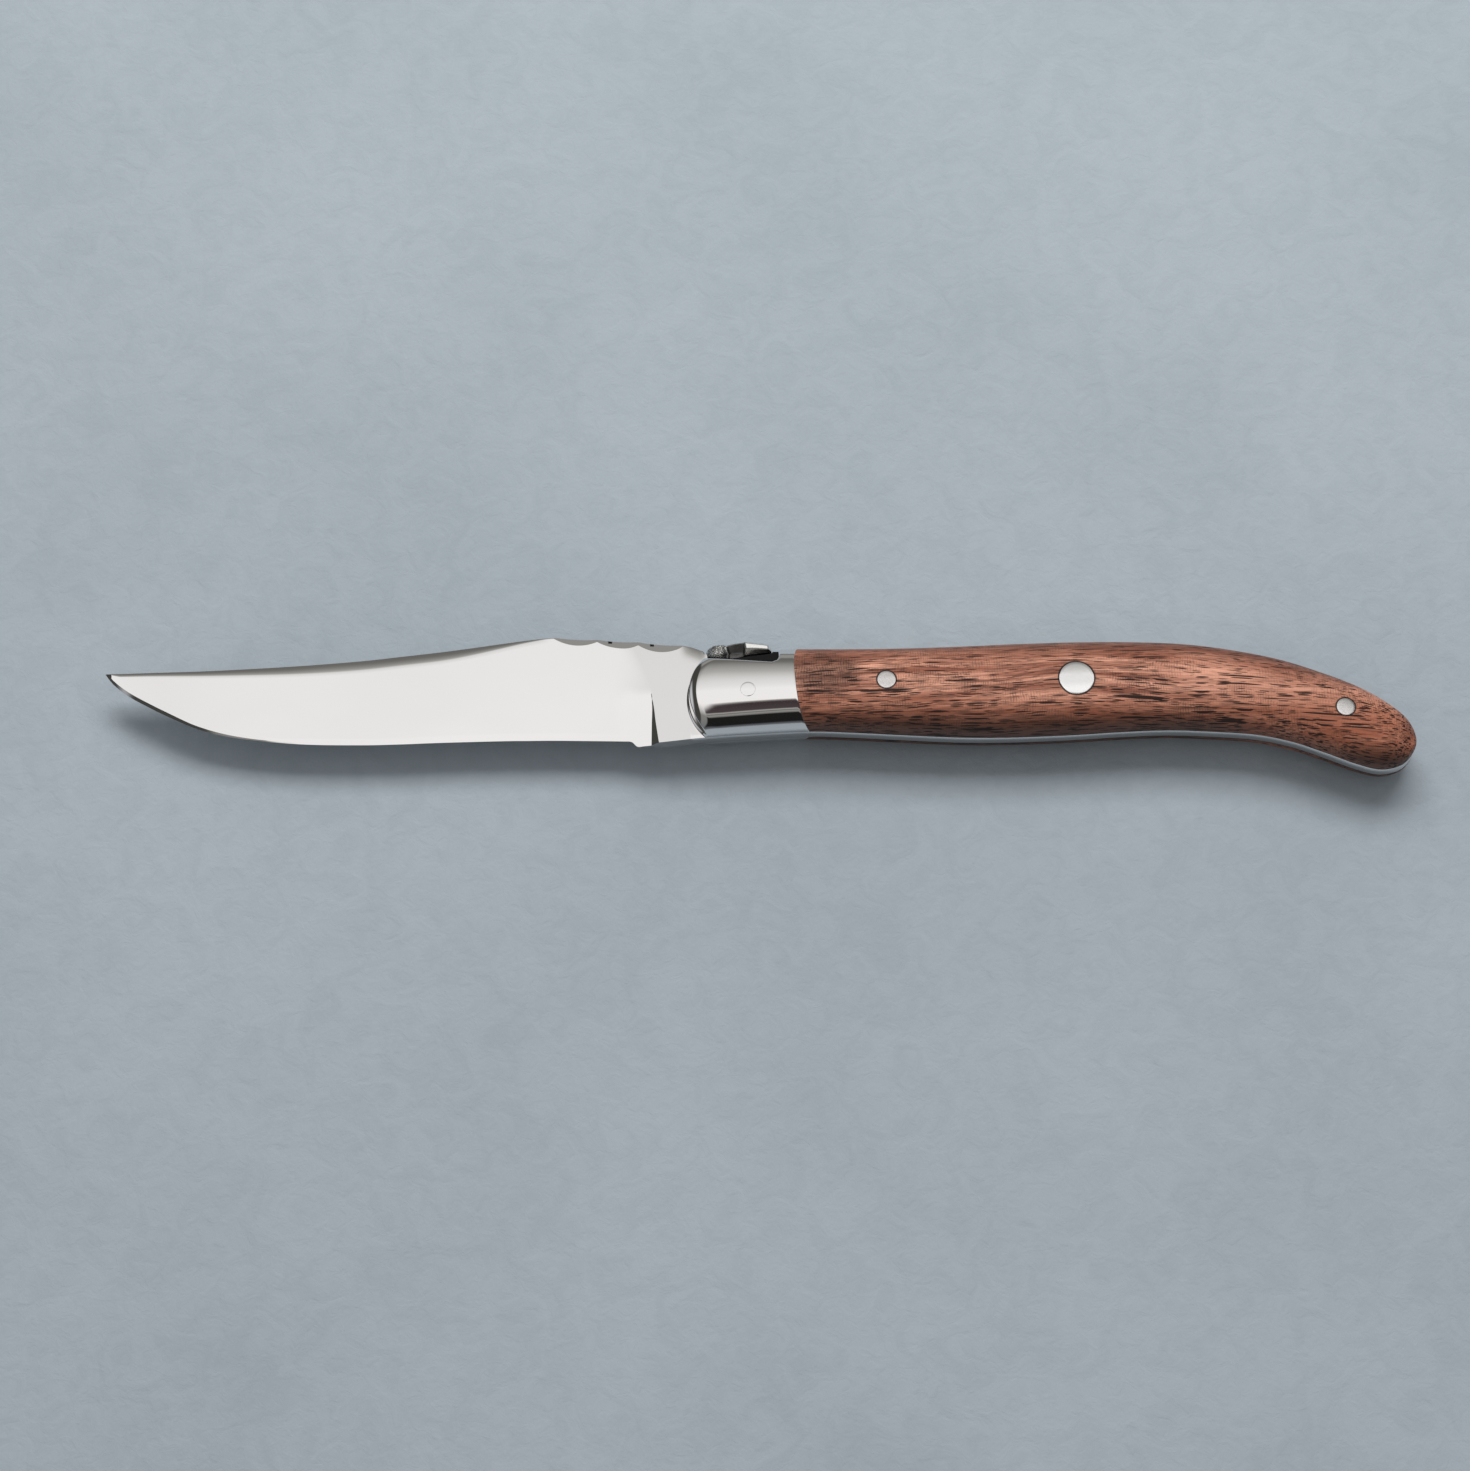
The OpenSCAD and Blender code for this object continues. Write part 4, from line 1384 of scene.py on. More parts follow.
@dataclass
class SpineCap(Piece):
    """The small forged cap on the spine, with a round head and spread wings."""

    crease = 60.0
    lead: float = 3.4
    length: float = 11.5
    height: float = 3.7
    width: float = 6.6
    seat_h: float = 7.35
    gap: float = 0.4
    corner_share: float = 0.16
    columns: int = 96
    corner_steps: int = 6
    # Depth of the stipple, how much the noise that makes it is raised, its grain and the length of its fading
    stipple_d: float = 0.05
    stipple_gain: float = 4.0
    stipple_grain: float = 2.6
    stipple_fade: float = 0.8
    # The stations where the head is widest and where the neck ends, and how far the head runs on
    head_row: int = 3
    neck_row: int = 7
    head_over: float = 0.4
    # Place, then heights and half widths of the underside, the side's lower and upper edge and the crown
    shares: Rows = (
        (0, 0.26, 0.1, 0.28, 0.14, 0.36, 0.14, 0.4, 0.08),
        (0.03, 0.12, 0.2, 0.18, 0.25, 0.46, 0.25, 0.54, 0.16),
        (0.12, 0.02, 0.28, 0.14, 0.36, 0.56, 0.35, 0.7, 0.2),
        (0.24, 0, 0.28, 0.14, 0.37, 0.6, 0.36, 0.75, 0.19),
        (0.32, 0, 0.14, 0.24, 0.22, 0.58, 0.34, 0.72, 0.2),
        (0.42, 0.03, 0.12, 0.3, 0.19, 0.64, 0.36, 0.78, 0.22),
        (0.56, 0.1, 0.12, 0.36, 0.21, 0.7, 0.38, 0.82, 0.25),
        (0.62, 0.14, 0.11, 0.44, 0.36, 0.7, 0.385, 0.84, 0.27),
        (0.9, 0.25, 0.1, 0.41, 0.36, 0.6, 0.37, 0.74, 0.28),
        (0.96, 0.28, 0.1, 0.4, 0.32, 0.55, 0.33, 0.66, 0.25),
        (1, 0.32, 0.08, 0.42, 0.18, 0.5, 0.18, 0.56, 0.14),
    )

    @property
    def rows(self) -> list[Row]:
        """The stations in millimetres."""
        start = FORM.blade_len + self.lead
        axes = ((self.height, self.seat_h), (self.width, 0)) * 4
        return [(start + place * self.length, *(a * scale + base for a, (scale, base) in zip(rest, axes)))
                for place, *rest in self.shares]

    @property
    def head_end(self) -> float:
        """Where the round head ends, in millimetres from the tip."""
        return self.rows[self.head_row][0] + self.head_over

    @property
    def neck_end(self) -> float:
        """Where the neck ends, in millimetres from the tip."""
        return self.rows[self.neck_row][0]

    def _ring(self, row: Row) -> list[Row]:
        """Gives one section as points around it, with its corners eased.

        Args:
            row: the station, in millimetres.

        Returns:
            Height and distance from the middle of each point.
        """
        corners = list(zip(row[7::-2], row[8::-2]))
        corners += [(y, -z) for y, z in reversed(corners)]
        ring = []
        for before, corner, after in zip([corners[-1], *corners], corners, [*corners[1:], corners[0]]):
            start, end = (tuple(mix(a, b, self.corner_share) for a, b in zip(corner, other))
                          for other in (before, after))
            ring += [rounded(start, corner, end, k / (self.corner_steps - 1))
                     for k in range(self.corner_steps)]
        return ring

    def build(self) -> bpy.types.Object:
        """Makes the cap through its stations."""
        bm = bmesh.new()
        rows, columns = self.rows, self.columns
        stations = [curve_at(rows, k / columns * (len(rows) - 1)) for k in range(columns + 1)]
        rings = [self._ring(station) for station in stations]
        around = len(rings[0])
        middle_y = (rows[self.head_row][1] + rows[self.head_row][7]) / 2

        def place(u: float, w: float) -> Vector:
            """Gives the skin's point, with the head's stipple."""
            column = round(u * columns)
            x = stations[column][0]
            point = BENCH.put(x, *rings[column][round(w * around) % around])
            fade = smooth(self.head_end - x, 0, self.stipple_fade)
            dimple = noise.noise(point / MM * self.stipple_grain) * fade
            inward = (BENCH.put(x, middle_y, 0) - point).normalized()
            return point + inward * max(0.0, dimple) * self.stipple_d * MM * self.stipple_gain

        lay_patch(bm, columns, around, place)
        close_up(bm)
        return new_object("cap_on_spine", bm)


Corner = tuple[Row, Row, float, float]


@dataclass
class Bolster(Piece):
    """One steel plate beside the tang, with a round front and a pocket for the cap."""

    crease = 40.0
    side: Side
    bore: Row
    bore_reach: float = 5.0
    front_r: float = 9.4
    front_setback: float = 0.5
    # Height of the bead at the foot of the front, and the share of it that stands straight
    bead_h: float = 0.5
    bead_share: float = 0.6
    # Width and depth of the front's rolls, the tight one and the gentle one
    front_rolls: Rows = ((1.6, 0.5), (3.6, 0.12))
    pocket_front_h: float = 6.3
    pocket_fall: float = 1.3
    pocket_r: float = 1.2
    ease: float = 0.12
    pocket_ease: float = 0.32
    ease_fade: float = 1.5
    roll_w: float = 0.45
    roll_d: float = 0.06
    upper_rows: int = 16
    lower_rows: int = 60
    front_columns: int = 44
    rear_columns: int = 36
    # The row that ends at the lower corner of the front wall, and the rows over which the ease turns there
    split_row: int = 44
    split_fade: int = 10
    ease_steps: int = 4
    # How fast the front's ease grows below the pocket, and how the columns crowd toward the front
    ease_growth: float = 3.0
    crowding: float = 1.2
    # How many rounds the searches for the front corner, the pocket's rim and a wall's corner take, and the
    # place around the side that the second starts from
    rounds: int = 20
    floor_rounds: int = 8
    turn_rounds: int = 12
    floor_v: float = 0.3

    def __post_init__(self) -> None:
        """Works out the middle of the round front and the corner where the pocket meets it."""
        self.middle = (FORM.blade_len + self.front_r, FORM.bolster_pin[1])
        self.corner_x = self.middle[0]
        for _ in range(self.rounds):
            y = self._floor(self.corner_x)
            radius = self._front(self._rolled(self.corner_x, y, FORM.rise_at(self.corner_x, y))[2])
            self.corner_x = self.middle[0] - math.sqrt(radius ** 2 - (y - self.middle[1]) ** 2)
        self.mid_t = solve(lambda t: self.arc_x - self._lower(t, 0.0)[0], 0, FORM.joint_place)

    @property
    def arc_x(self) -> float:
        """Where the pocket's floor ends and its round corner starts."""
        return FORM.pocket_x - self.pocket_r

    def _floor(self, x: float) -> float:
        """Gives the height of the pocket's floor at x."""
        f = min(1.0, (x - FORM.blade_len) / (self.arc_x - FORM.blade_len))
        return self.pocket_front_h - self.pocket_fall * f

    def _front(self, height: float) -> float:
        """Gives the radius of the front wall at a height above the tang's face."""
        lean = (height - self.bead_h) / (FORM.side_t - self.bead_h)
        bead = smooth(height - self.bead_share * self.bead_h, 0, self.bead_h)
        return self.front_r - self.front_setback / 2 * bead - self.front_setback / 2 * max(0.0, lean)

    def _ease_at(self, x: float) -> float:
        """Gives the ease of the pocket's rim at x, which fades out at the front corner."""
        return self.pocket_ease * clamp((x - self.corner_x) / self.ease_fade)

    def _v_floor(self, t: float) -> float:
        """Gives the place around the side where the eased rim of the pocket is.

        Args:
            t: the place along the handle, counted in stations.

        Returns:
            The place, between 0 and 1.
        """
        v = self.floor_v
        for _ in range(self.floor_rounds):
            x = FORM.skin(t, v)[0]
            v = FORM.around_at(t, self._floor(x) - self._ease_at(x))
        return v

    def _roll(self, t: float) -> float:
        """Gives how far the skin is rolled off near the joint."""
        away = (FORM.joint_x - FORM.spine_point(t)[0]) / self.roll_w
        return self.roll_d * max(0.0, 1 - away) ** 2

    def _lower(self, t: float, w: float) -> tuple[float, float, float]:
        """Gives a point of the skin below the pocket's rim, from the rim at w = 0 to the belly."""
        return self._rolled(*FORM.skin(t, mix(self._v_floor(t), 1, w), self._roll(t)))

    def _rolled(self, x: float, y: float, height: float) -> tuple[float, float, float]:
        """Lowers a point of the skin by the round front's rolls.

        Args:
            x: its place along the knife.
            y: its height across it.
            height: its height above the tang's face.

        Returns:
            The same three of the lowered point.
        """
        away = math.hypot(min(0.0, x - self.middle[0]), y - self.middle[1])
        inside = self.front_r - self.front_setback - away
        drop = sum(deep * (1 - inside / wide) ** 2 for wide, deep in self.front_rolls if inside < wide)
        return x, y, height * (1 - min(0.5, drop / FORM.side_t))

    def _upper(self, t: float, w: float) -> tuple[float, float, float]:
        """Gives a point of the skin above that, from the spine at w = 0 to the rim at w = 1."""
        return FORM.skin(t, self._v_floor(t) * w, self._roll(t))

    def _front_t(self, w: float, ease: float) -> float:
        """Gives the place where a row of the lower skin meets the front wall, less some ease.

        Args:
            w: the row, from the rim at 0 to the belly at 1.
            ease: how far it stops before the wall.

        Returns:
            The place along the handle, counted in stations.
        """
        def outside(t: float) -> float:
            """Gives how far a place of the row still lies outside the wall."""
            x, y, height = self._lower(t, w)
            return math.dist((x, y), self.middle) - self._front(height) + ease
        return solve(outside, 0, 2)

    def _rear_t(self, w: float) -> float:
        """Gives the place where a row of the upper skin meets the pocket's rear wall.

        Args:
            w: the row, from the spine at 0 to the rim at 1.

        Returns:
            The place along the handle, counted in stations.
        """
        def ahead(t: float) -> float:
            """Gives how far a place of the row still lies ahead of the wall."""
            x, y, _ = self._upper(t, w)
            radius = self.pocket_r + self.pocket_ease
            below = max(0.0, self._floor(self.arc_x) + self.pocket_r - y)
            return self.arc_x + math.sqrt(max(0.0, radius ** 2 - below ** 2)) - x
        return self.mid_t if w == 1 else solve(ahead, 0, FORM.joint_place)

    def _rim(self, x: float, y: float) -> tuple[float, float]:
        """Gives the point of the pocket's true rim beside a point of its eased one.

        Args:
            x: the eased point's place along the knife.
            y: its height.

        Returns:
            The same of the true point.
        """
        arc_y = self._floor(self.arc_x) + self.pocket_r
        if x <= self.arc_x:
            return x, self._floor(x)
        if y >= arc_y:
            return FORM.pocket_x, y
        away = math.dist((x, y), (self.arc_x, arc_y))
        scale = self.pocket_r / away
        return self.arc_x + (x - self.arc_x) * scale, arc_y + (y - arc_y) * scale

    def _front_edge(self, w: float) -> tuple[Row, float]:
        """Gives the corner where a row of the lower skin meets the front wall, and the ease there."""
        corner = self._lower(self._front_t(w, 0), w)
        return corner, min(self.ease * clamp(self.ease_growth * w), 0.5 * corner[2])

    def _rim_rows(self) -> list[Corner]:
        """Gives, for each row, the front's eased edge, its corner, and height and turn of the wall's rim."""
        rows = []
        for j in range(self.lower_rows + 1):
            w = j / self.lower_rows
            corner, ease = self._front_edge(w)
            start = self._lower(self._front_t(w, ease), w) if ease > 0 else corner
            # The ease goes down the wall at its crown, and along the wall near the belly
            lie = math.pi / 2 * smooth(j, self.split_row - self.split_fade, self.split_row + self.split_fade)
            turn = math.atan2(corner[1] - self.middle[1], corner[0] - self.middle[0]) % math.tau
            rows.append((start, corner, corner[2] - ease * math.cos(lie),
                         turn - ease * math.sin(lie) / self.front_r))
        return rows

    def _wall_point(self, rows: list[Corner], j: int, k: int) -> Row:
        """Gives a point of the front wall.

        Args:
            rows: the rim, row by row.
            j: the row, counted from the pocket.
            k: how many steps down from the rim the point lies.

        Returns:
            x, y and the height above the tang's face.
        """
        crown, foot, this = rows[self.split_row], rows[self.split_row + k], rows[j]
        height = this[2] * foot[2] / crown[2]
        first = self._corner_turn(self._front(this[2]))
        share = (this[3] - first) / (crown[3] - first)
        radius = self._front(height)
        turn = mix(self._corner_turn(radius), foot[3], share)
        return (self.middle[0] + radius * math.cos(turn), self.middle[1] + radius * math.sin(turn), height)

    def _corner_turn(self, radius: float) -> float:
        """Gives the direction in which the pocket's floor meets a front wall of some radius."""
        x = self.corner_x
        for _ in range(self.turn_rounds):
            x = self.middle[0] - math.sqrt(radius ** 2 - (self._floor(x) - self.middle[1]) ** 2)
        return math.atan2(self._floor(x) - self.middle[1], x - self.middle[0]) % math.tau

    def _pocket_lines(self, front: list[Row]) -> list[tuple[Row, Row, list[Row]]]:
        """Gives the pocket's rim and wall, place by place.

        Args:
            front: the points of the wall's first line, where it meets the round front.

        Returns:
            For each place, its eased edge, its corner and the points down the wall.
        """
        lines = []
        levels = [point[2] / front[0][2] for point in front]
        starts = [self._lower(self._front_column(0.0, k / self.front_columns), 0.0)
                  for k in range(self.front_columns + 1)]
        starts += [self._upper(self._rear_t(w), w)
                   for w in (1 - k / self.upper_rows for k in range(1, self.upper_rows + 1))]
        for i, start in enumerate(starts):
            x, y = self._rim(start[0], start[1])
            height = self._rolled(x, y, FORM.rise_at(x, y))[2] if start[2] > 0 else 0.0
            ease = min(self._ease_at(x), 0.5 * height)
            blend = max(0.0, 1 - i / self.front_columns) ** 2
            foot = []
            for point, level in zip(front, levels):
                shift = (point[0] - front[0][0]) * blend
                foot.append((x + shift, self._floor(x + shift) if x <= self.arc_x else y,
                             (height - ease) * level))
            lines.append((start, (x, y, height), foot) if i else (start, start, front))
        return lines

    def _front_column(self, w: float, u: float) -> float:
        """Gives the place of a column between the front wall and the pocket's rear."""
        return mix(self._front_t(w, self._front_edge(w)[1]), self.mid_t, u ** self.crowding)

    def build(self) -> bpy.types.Object:
        """Makes the plate from patches and welds them."""
        bm = bmesh.new()
        sign = self.side.value
        face = FORM.half_stock
        last = FORM.joint_place
        front_t = [self._front_column(j / self.lower_rows, 0.0) for j in range(self.lower_rows + 1)]
        rear_t = [self._rear_t(j / self.upper_rows) for j in range(self.upper_rows + 1)]
        rows = self._rim_rows()
        split, wall = self.split_row, self.lower_rows - self.split_row
        front = [[self._wall_point(rows, j, k) for k in range(wall + 1)] for j in range(split + 1)]
        rim = [line[0] for line in front] + front[split][1:]
        pocket = self._pocket_lines(front[0])

        def put(point: Row) -> Vector:
            """Puts a point above the tang's face in the frame."""
            return BENCH.put(point[0], point[1], sign * (face + point[2]))

        def gather(u: float) -> float:
            """Lets columns gather toward the wood."""
            return 1 - (1 - u) ** 2

        def strip(edges: list[tuple[Row, Row, Row]]) -> None:
            """Rounds an edge over, from its start over its corner to its end."""
            count = len(edges) - 1
            lay_patch(bm, count, self.ease_steps, lambda u, w: put(rounded(*edges[round(u * count)], w)))

        lay_patch(bm, self.front_columns, self.lower_rows, lambda u, w: put(self._lower(
            mix(front_t[round(w * self.lower_rows)], self.mid_t, u ** self.crowding), w)))
        lay_patch(bm, self.rear_columns, self.lower_rows, lambda u, w: put(self._lower(
            mix(self.mid_t, last, gather(u)), w)))
        lay_patch(bm, self.rear_columns, self.upper_rows, lambda u, w: put(self._upper(
            mix(rear_t[round(w * self.upper_rows)], last, gather(u)), w)))
        strip([(start, corner, end) for (start, corner, *_), end in zip(rows, rim)])
        strip([(start, corner, foot[0]) for start, corner, foot in pocket])
        lay_patch(bm, split, wall, lambda u, w: put(front[round(u * split)][round(w * wall)]))
        lay_patch(bm, len(pocket) - 1, wall, lambda u, w: put(
            pocket[round(u * (len(pocket) - 1))][2][round(w * wall)]))
        self._back(bm, sign * face)
        piece = new_object(f"bolster_plate_{self.side.name.lower()}", bm)
        x, y, radius = self.bore
        cut_with(piece, [rod(x, y, sign * self.bore_reach, radius, 2 * self.bore_reach - face)])
        return piece

    @staticmethod
    def _back(bm: bmesh.types.BMesh, face: float) -> None:
        """Closes the flat back of the plate and the end that meets the wood.

        Args:
            bm: the plate's mesh.
            face: the height of the back above the middle of the tang.
        """
        bmesh.ops.remove_doubles(bm, verts=bm.verts, dist=2 * WELD)
        plane = BENCH.put(0, 0, face).z
        edge = [e for e in bm.edges if e.is_boundary]
        flat = [e for e in edge if all(abs(v.co.z - plane) < 10 * WELD for v in e.verts)]
        ends = {v for e in edge if e not in flat for v in e.verts if abs(v.co.z - plane) < 10 * WELD}
        far = sorted(ends, key=lambda v: v.co.x)[-2:]
        flat.append(bm.edges.get(far) or bm.edges.new(far))
        made = bmesh.ops.contextual_create(bm, geom=flat)
        if not made["faces"]:
            log.warning("the back of a bolster stayed open")
        bmesh.ops.dissolve_degenerate(bm, edges=bm.edges, dist=WELD / 4)
        rest = [e for e in bm.edges if e.is_boundary]
        bmesh.ops.holes_fill(bm, edges=rest, sides=0)
        face_outward(bm)


@dataclass
class Scale(Piece):
    """One wooden scale, from the bolster to the hooked butt."""

    crease = 40.0
    side: Side
    bores: Rows
    # Height of the middle of a drill, and its length
    drill_z: float = 5.0
    drill_len: float = 12.0
    around: int = 72
    along: int = 300

    def build(self) -> bpy.types.Object:
        """Makes the scale and drills it."""
        bm = bmesh.new()
        face = FORM.half_stock
        sign = self.side.value
        first, last = FORM.joint_place, FORM.butt_place
        loop = self.around + 1

        def place(u: float, w: float) -> Vector:
            """Gives the skin's point, or that of the flat back on the last strip."""
            t = FORM.gathered(mix(first, last, u))
            x, y, height = FORM.skin(t, min(1.0, w * loop / self.around) if round(w * loop) < loop else 0.0)
            return BENCH.put(x, y, sign * (face + height))

        lay_patch(bm, self.along, loop, place)
        close_up(bm)
        piece = new_object(f"wood_scale_{self.side.name.lower()}", bm)
        cut_with(piece, [rod(x, y, sign * self.drill_z, r, self.drill_len) for x, y, r in self.bores])
        return piece


def end_line(radius: float, edge: float, rings: int) -> list[tuple[float, float]]:
    """Gives the end of a pin as radius and drop below the skin, from its middle to its rim.

    Args:
        radius: the pin's radius.
        edge: how wide its rim is eased.
        rings: how many rings of faces its flat part has, up to its last one.

    Returns:
        The radii and drops.
    """
    return [*((k / rings * radius, 0.0) for k in range(rings)),
            *((radius - a * edge, b * edge) for a, b in ((1, 0), (0.5, 0.15), (0.15, 0.5), (0, 1)))]


def spin(line: Sequence[Row], steps: int) -> bmesh.types.BMesh:
    """Makes a round mesh, in millimetres.

    Args:
        line: radius and height of the points that are turned about the upright axis.
        steps: how many facets there are around it.

    Returns:
        The mesh.
    """
    bm = bmesh.new()
    verts = [bm.verts.new((radius, 0, z)) for radius, z in line]
    edges = [bm.edges.new(pair) for pair in zip(verts, verts[1:])]
    bmesh.ops.spin(bm, geom=verts + edges, cent=(0, 0, 0), axis=(0, 0, 1), angle=math.tau,
                   steps=steps, use_merge=True, use_duplicate=False)
    bmesh.ops.remove_doubles(bm, verts=bm.verts, dist=SPIN_WELD)
    return bm


@dataclass
class GroundPin(Piece):
    """A steel pin whose ends are ground down to the handle's skin."""

    name: str
    at: tuple[float, float]
    diameter: float
    proud: float = 0.015
    edge: float = 0.1
    rings: int = 4
    steps: int = 72

    def build(self) -> bpy.types.Object:
        """Spins the pin and sets both of its ends on the skin."""
        upper = end_line(self.diameter / 2, self.edge, self.rings)
        bm = spin([*((r, 1 + drop) for r, drop in upper), *((r, -1 - drop) for r, drop in reversed(upper))],
                  self.steps)
        for vert in bm.verts:
            x, y = self.at[0] + vert.co.x, self.at[1] + vert.co.y
            level = FORM.half_stock + FORM.rise_at(x, y) + self.proud
            drop = abs(vert.co.z) - 1
            vert.co = BENCH.put(x, y, math.copysign(level - drop, vert.co.z))
        face_outward(bm)
        return new_object(self.name, bm)


@dataclass
class RivetHalf(Piece):
    """One half of the middle rivet: a head with a solid shank, or a head with a tube."""

    side: Side
    head_t: float = 2.4
    shank_d: float = 2.2
    hole_gap: float = 0.02
    proud: float = 0.02
    edge: float = 0.14
    rings: int = 5
    steps: int = 96

    def _stem(self) -> list[tuple[float, float]]:
        """Gives radius and depth of the stem's points, from the foot of the head on."""
        reach = self.head_t + 2 * (FORM.half_stock + FORM.side_t - self.head_t)
        shank = self.shank_d / 2
        if self.side is Side.RIGHT:
            return [(shank, self.head_t), (shank, reach), (0.0, reach)]
        tube, bore = FORM.tube_d / 2, shank + self.hole_gap
        return [(tube, self.head_t), (tube, reach), (bore, reach), (bore, self.head_t), (0.0, self.head_t)]

    def build(self) -> bpy.types.Object:
        """Spins the half and sets its head on the skin."""
        radius = FORM.head_d / 2
        line = [*end_line(radius, self.edge, self.rings), (radius, self.head_t), *self._stem()]
        bm = spin([(r, -depth) for r, depth in line], self.steps)
        crown = FORM.half_stock + FORM.side_t
        for vert in bm.verts:
            x, y = FORM.rivet[0] + vert.co.x, FORM.rivet[1] + vert.co.y
            depth = -vert.co.z
            skin = FORM.half_stock + FORM.rise_at(x, y) + self.proud
            level = skin - depth if depth < self.head_t / 2 else crown - depth
            vert.co = BENCH.put(x, y, self.side.value * level)
        face_outward(bm)
        return new_object(f"rivet_{'shank' if self.side is Side.RIGHT else 'tube'}", bm)


def look_from(thing: bpy.types.Object, back: Vector) -> None:
    """Turns a camera or a lamp that stands in some direction, so that it looks back from there."""
    thing.rotation_mode = "QUATERNION"
    thing.rotation_quaternion = (-back).to_track_quat("-Z", "Y")


@dataclass
class Studio:
    """The card that the knife lies on, the camera over it and the light."""

    elevation: float = math.radians(68)
    distance: float = 0.7
    view_w: float = 0.2577
    aim: Row = (110.96, -6.62, 0.0)
    sensor_w: float = 36.0
    floor_w: float = 6.0
    key_power: float = 9.3
    # Width and depth of the lamp, and its place, in metres
    key_size: Row = (0.9, 0.45)
    key_at: Row = (0.05, 0.55, 0.8)
    room_light: Colour = (0.42, 0.425, 0.43)
    # What polished steel mirrors, by the angle from straight up toward the back, in degrees
    mirror_stops: tuple[tuple[float, Colour], ...] = (
        (-90, (0.16, 0.17, 0.18)), (-77, (0.012, 0.012, 0.012)), (-43, (0.013, 0.013, 0.012)),
        (-39, (0.24, 0.235, 0.22)), (-35, (0.3, 0.29, 0.27)), (-33, (0.12, 0.115, 0.11)),
        (-30, (0.42, 0.41, 0.39)), (-27, (0.07, 0.055, 0.055)), (-10, (0.05, 0.035, 0.038)),
        (-6.5, (0.3, 0.28, 0.27)), (-5, (0.97, 0.95, 0.93)), (15, (0.97, 0.955, 0.945)),
        (22.5, (0.82, 0.81, 0.795)), (36, (0.46, 0.455, 0.435)), (58, (0.17, 0.165, 0.155)),
        (66, (0.14, 0.135, 0.125)), (72, (0.3, 0.295, 0.28)), (80, (0.3, 0.295, 0.28)),
        (90, (0.16, 0.16, 0.16)),
    )
    # How much further left the low bands start than the high ones, and the turn where they start as set
    band_lean: float = 0.4
    band_middle: float = 0.27
    # Where the bands, the room's sides and its bright far ends start and are full, the last also by height
    band_ends: Row = (-0.14, -0.07)
    side_x: Row = (0.36, 0.44)
    far_x: Row = (0.68, 0.8)
    far_z: Row = (0.3, 0.5)
    mirror_side: Colour = (0.055, 0.055, 0.05)
    mirror_far: Colour = (0.6, 0.61, 0.62)

    def build(self) -> None:
        """Sets up the whole studio."""
        self._floor()
        self._camera()
        self._lamps()
        self._world()
        bpy.context.scene.view_settings.view_transform = "Standard"

    def _floor(self) -> None:
        """Lays the card."""
        bm = bmesh.new()
        bmesh.ops.create_grid(bm, x_segments=1, y_segments=1, size=self.floor_w / 2)
        floor = new_object("card", bm)
        floor.data.materials.append(PaperFloor("card").paint())

    def _camera(self) -> None:
        """Puts the camera where the photograph was taken from."""
        data = bpy.data.cameras.new("camera")
        data.sensor_width = self.sensor_w
        data.lens = data.sensor_width * self.distance / self.view_w
        camera = link("camera", data)
        back = Vector((0, -math.cos(self.elevation), math.sin(self.elevation)))
        camera.location = BENCH.put(*self.aim) + back * self.distance
        look_from(camera, back)
        bpy.context.scene.camera = camera

    def _lamps(self) -> None:
        """Hangs a large soft lamp behind and over the knife."""
        data = bpy.data.lights.new("key", "AREA")
        data.shape = "RECTANGLE"
        data.size, data.size_y = self.key_size
        data.energy = self.key_power
        lamp = link("key", data)
        lamp.location = self.key_at
        look_from(lamp, lamp.location)
        lamp.visible_glossy = False

    def _world(self) -> None:
        """Gives the room its plain light, and the panels that polished steel mirrors."""
        world = bpy.data.worlds.new("room")
        bpy.context.scene.world = world
        world.use_nodes = True
        nodes = Nodes(world.node_tree)
        x, y, z = nodes.split(nodes.node("TexCoord").outputs["Generated"])
        turn = y.angle(z) / math.pi + 0.5
        stops = [((degrees + 90) / 180, colour) for degrees, colour in self.mirror_stops]
        plain = nodes.ramp(turn, [stops[0], stops[3], *stops[10:]])
        ends = x - self.band_lean * (turn - self.band_middle)
        banded = nodes.blend(ends.over(*self.band_ends), plain, nodes.ramp(turn, stops))
        aside = abs(x)
        mirrored = nodes.blend(aside.over(*self.side_x), banded, self.mirror_side)
        mirrored = nodes.blend(aside.over(*self.far_x) * z.over(*self.far_z), mirrored, self.mirror_far)
        glossy = nodes.node("LightPath").outputs["Is Glossy Ray"]
        colour = nodes.blend(glossy, self.room_light, mirrored)
        light = nodes.node("Background", {"Color": colour, "Strength": 1.0})
        nodes.node("OutputWorld", {"Surface": light.outputs[0]})


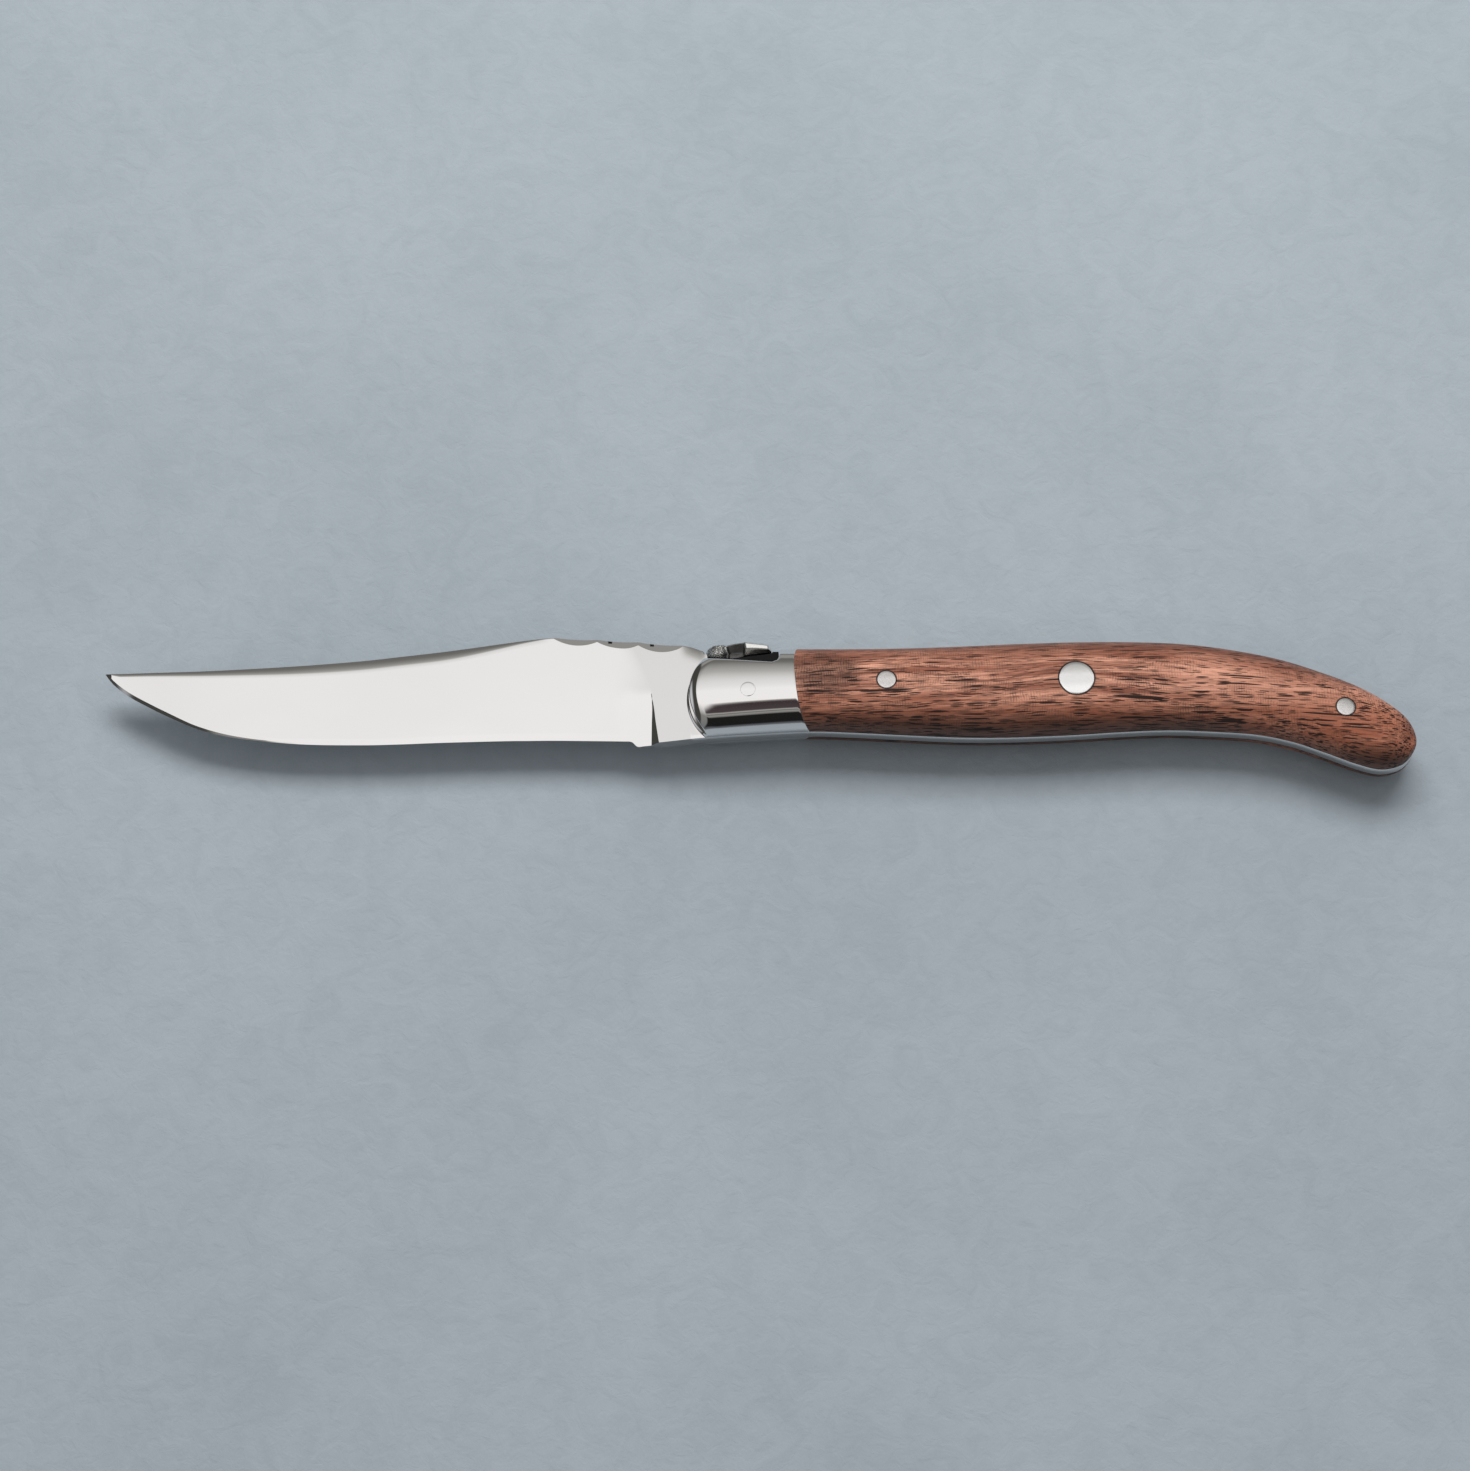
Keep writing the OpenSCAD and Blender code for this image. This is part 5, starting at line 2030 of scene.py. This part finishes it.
@dataclass
class Knife:
    """The whole knife, piece by piece."""

    # How much wider than its pin a bore is, and the same for the tight bore of a bolster
    bore_gap: float = 0.04
    tight_gap: float = 0.01

    def _bores(self, *pins: Row) -> Rows:
        """Gives the bores for some pins."""
        return tuple((x, y, radius + self.bore_gap) for x, y, radius in pins)

    def build(self) -> None:
        """Makes, dresses and places every piece."""
        plate = PolishedSteel("mirror_bolster", rough=0.035, rough_spread=0.03).paint()
        pin_steel = GroundSteel("ground_pins").paint()
        bright = GroundSteel("bright_rivet", colour=(1.0, 1.0, 1.0), dark=(0.94, 0.94, 0.94), rough=0.2,
                             grit=5.0, grit_depth=1.5e-6).paint()
        thin, front, rear, head, tube = ((*at, d / 2) for at, d in (
            (FORM.bolster_pin, FORM.bolster_pin_d), (FORM.front_pin, FORM.pin_d), (FORM.rear_pin, FORM.pin_d),
            (FORM.rivet, FORM.head_d), (FORM.rivet, FORM.tube_d)))
        wood = OiledWood("oiled_wood", (front, rear, head)).paint()

        cap = SpineCap("spine_cap", Slot.CAP)
        blade = Blade("blade", Slot.BLADE, cap, self._bores(thin, front, tube, rear))
        blade.place(PolishedSteel("mirror_blade", painted_shade_boxes=blade.painted_shade_boxes()).paint())
        cap.place(ForgedSteel("forged_cap", cap.head_end, cap.neck_end).paint())
        for side in Side:
            name = side.name.lower()
            bore = (*FORM.bolster_pin, FORM.bolster_pin_d / 2 + self.tight_gap)
            Bolster(f"bolster_{name}", Slot.BOLSTER, side, bore).place(plate)
            Scale(f"scale_{name}", Slot.WOOD, side, self._bores(front, rear, head)).place(wood)
        GroundPin("bolster_pin", Slot.BOLSTER, "pin_in_bolsters", FORM.bolster_pin, FORM.bolster_pin_d,
                  proud=0.003, edge=0.02).place(plate)
        GroundPin("front_pin", Slot.PIN, "pin_near_bolster", FORM.front_pin, FORM.pin_d).place(pin_steel)
        GroundPin("rear_pin", Slot.PIN, "pin_near_butt", FORM.rear_pin, FORM.pin_d).place(pin_steel)
        RivetHalf("rivet_male", Slot.RIVET, Side.RIGHT).place(bright)
        RivetHalf("rivet_female", Slot.RIVET, Side.LEFT).place(bright)


def main() -> None:
    """Builds the studio and the knife."""
    logging.basicConfig(level=logging.INFO)
    Studio().build()
    Knife().build()


if __name__ == "__main__":
    main()
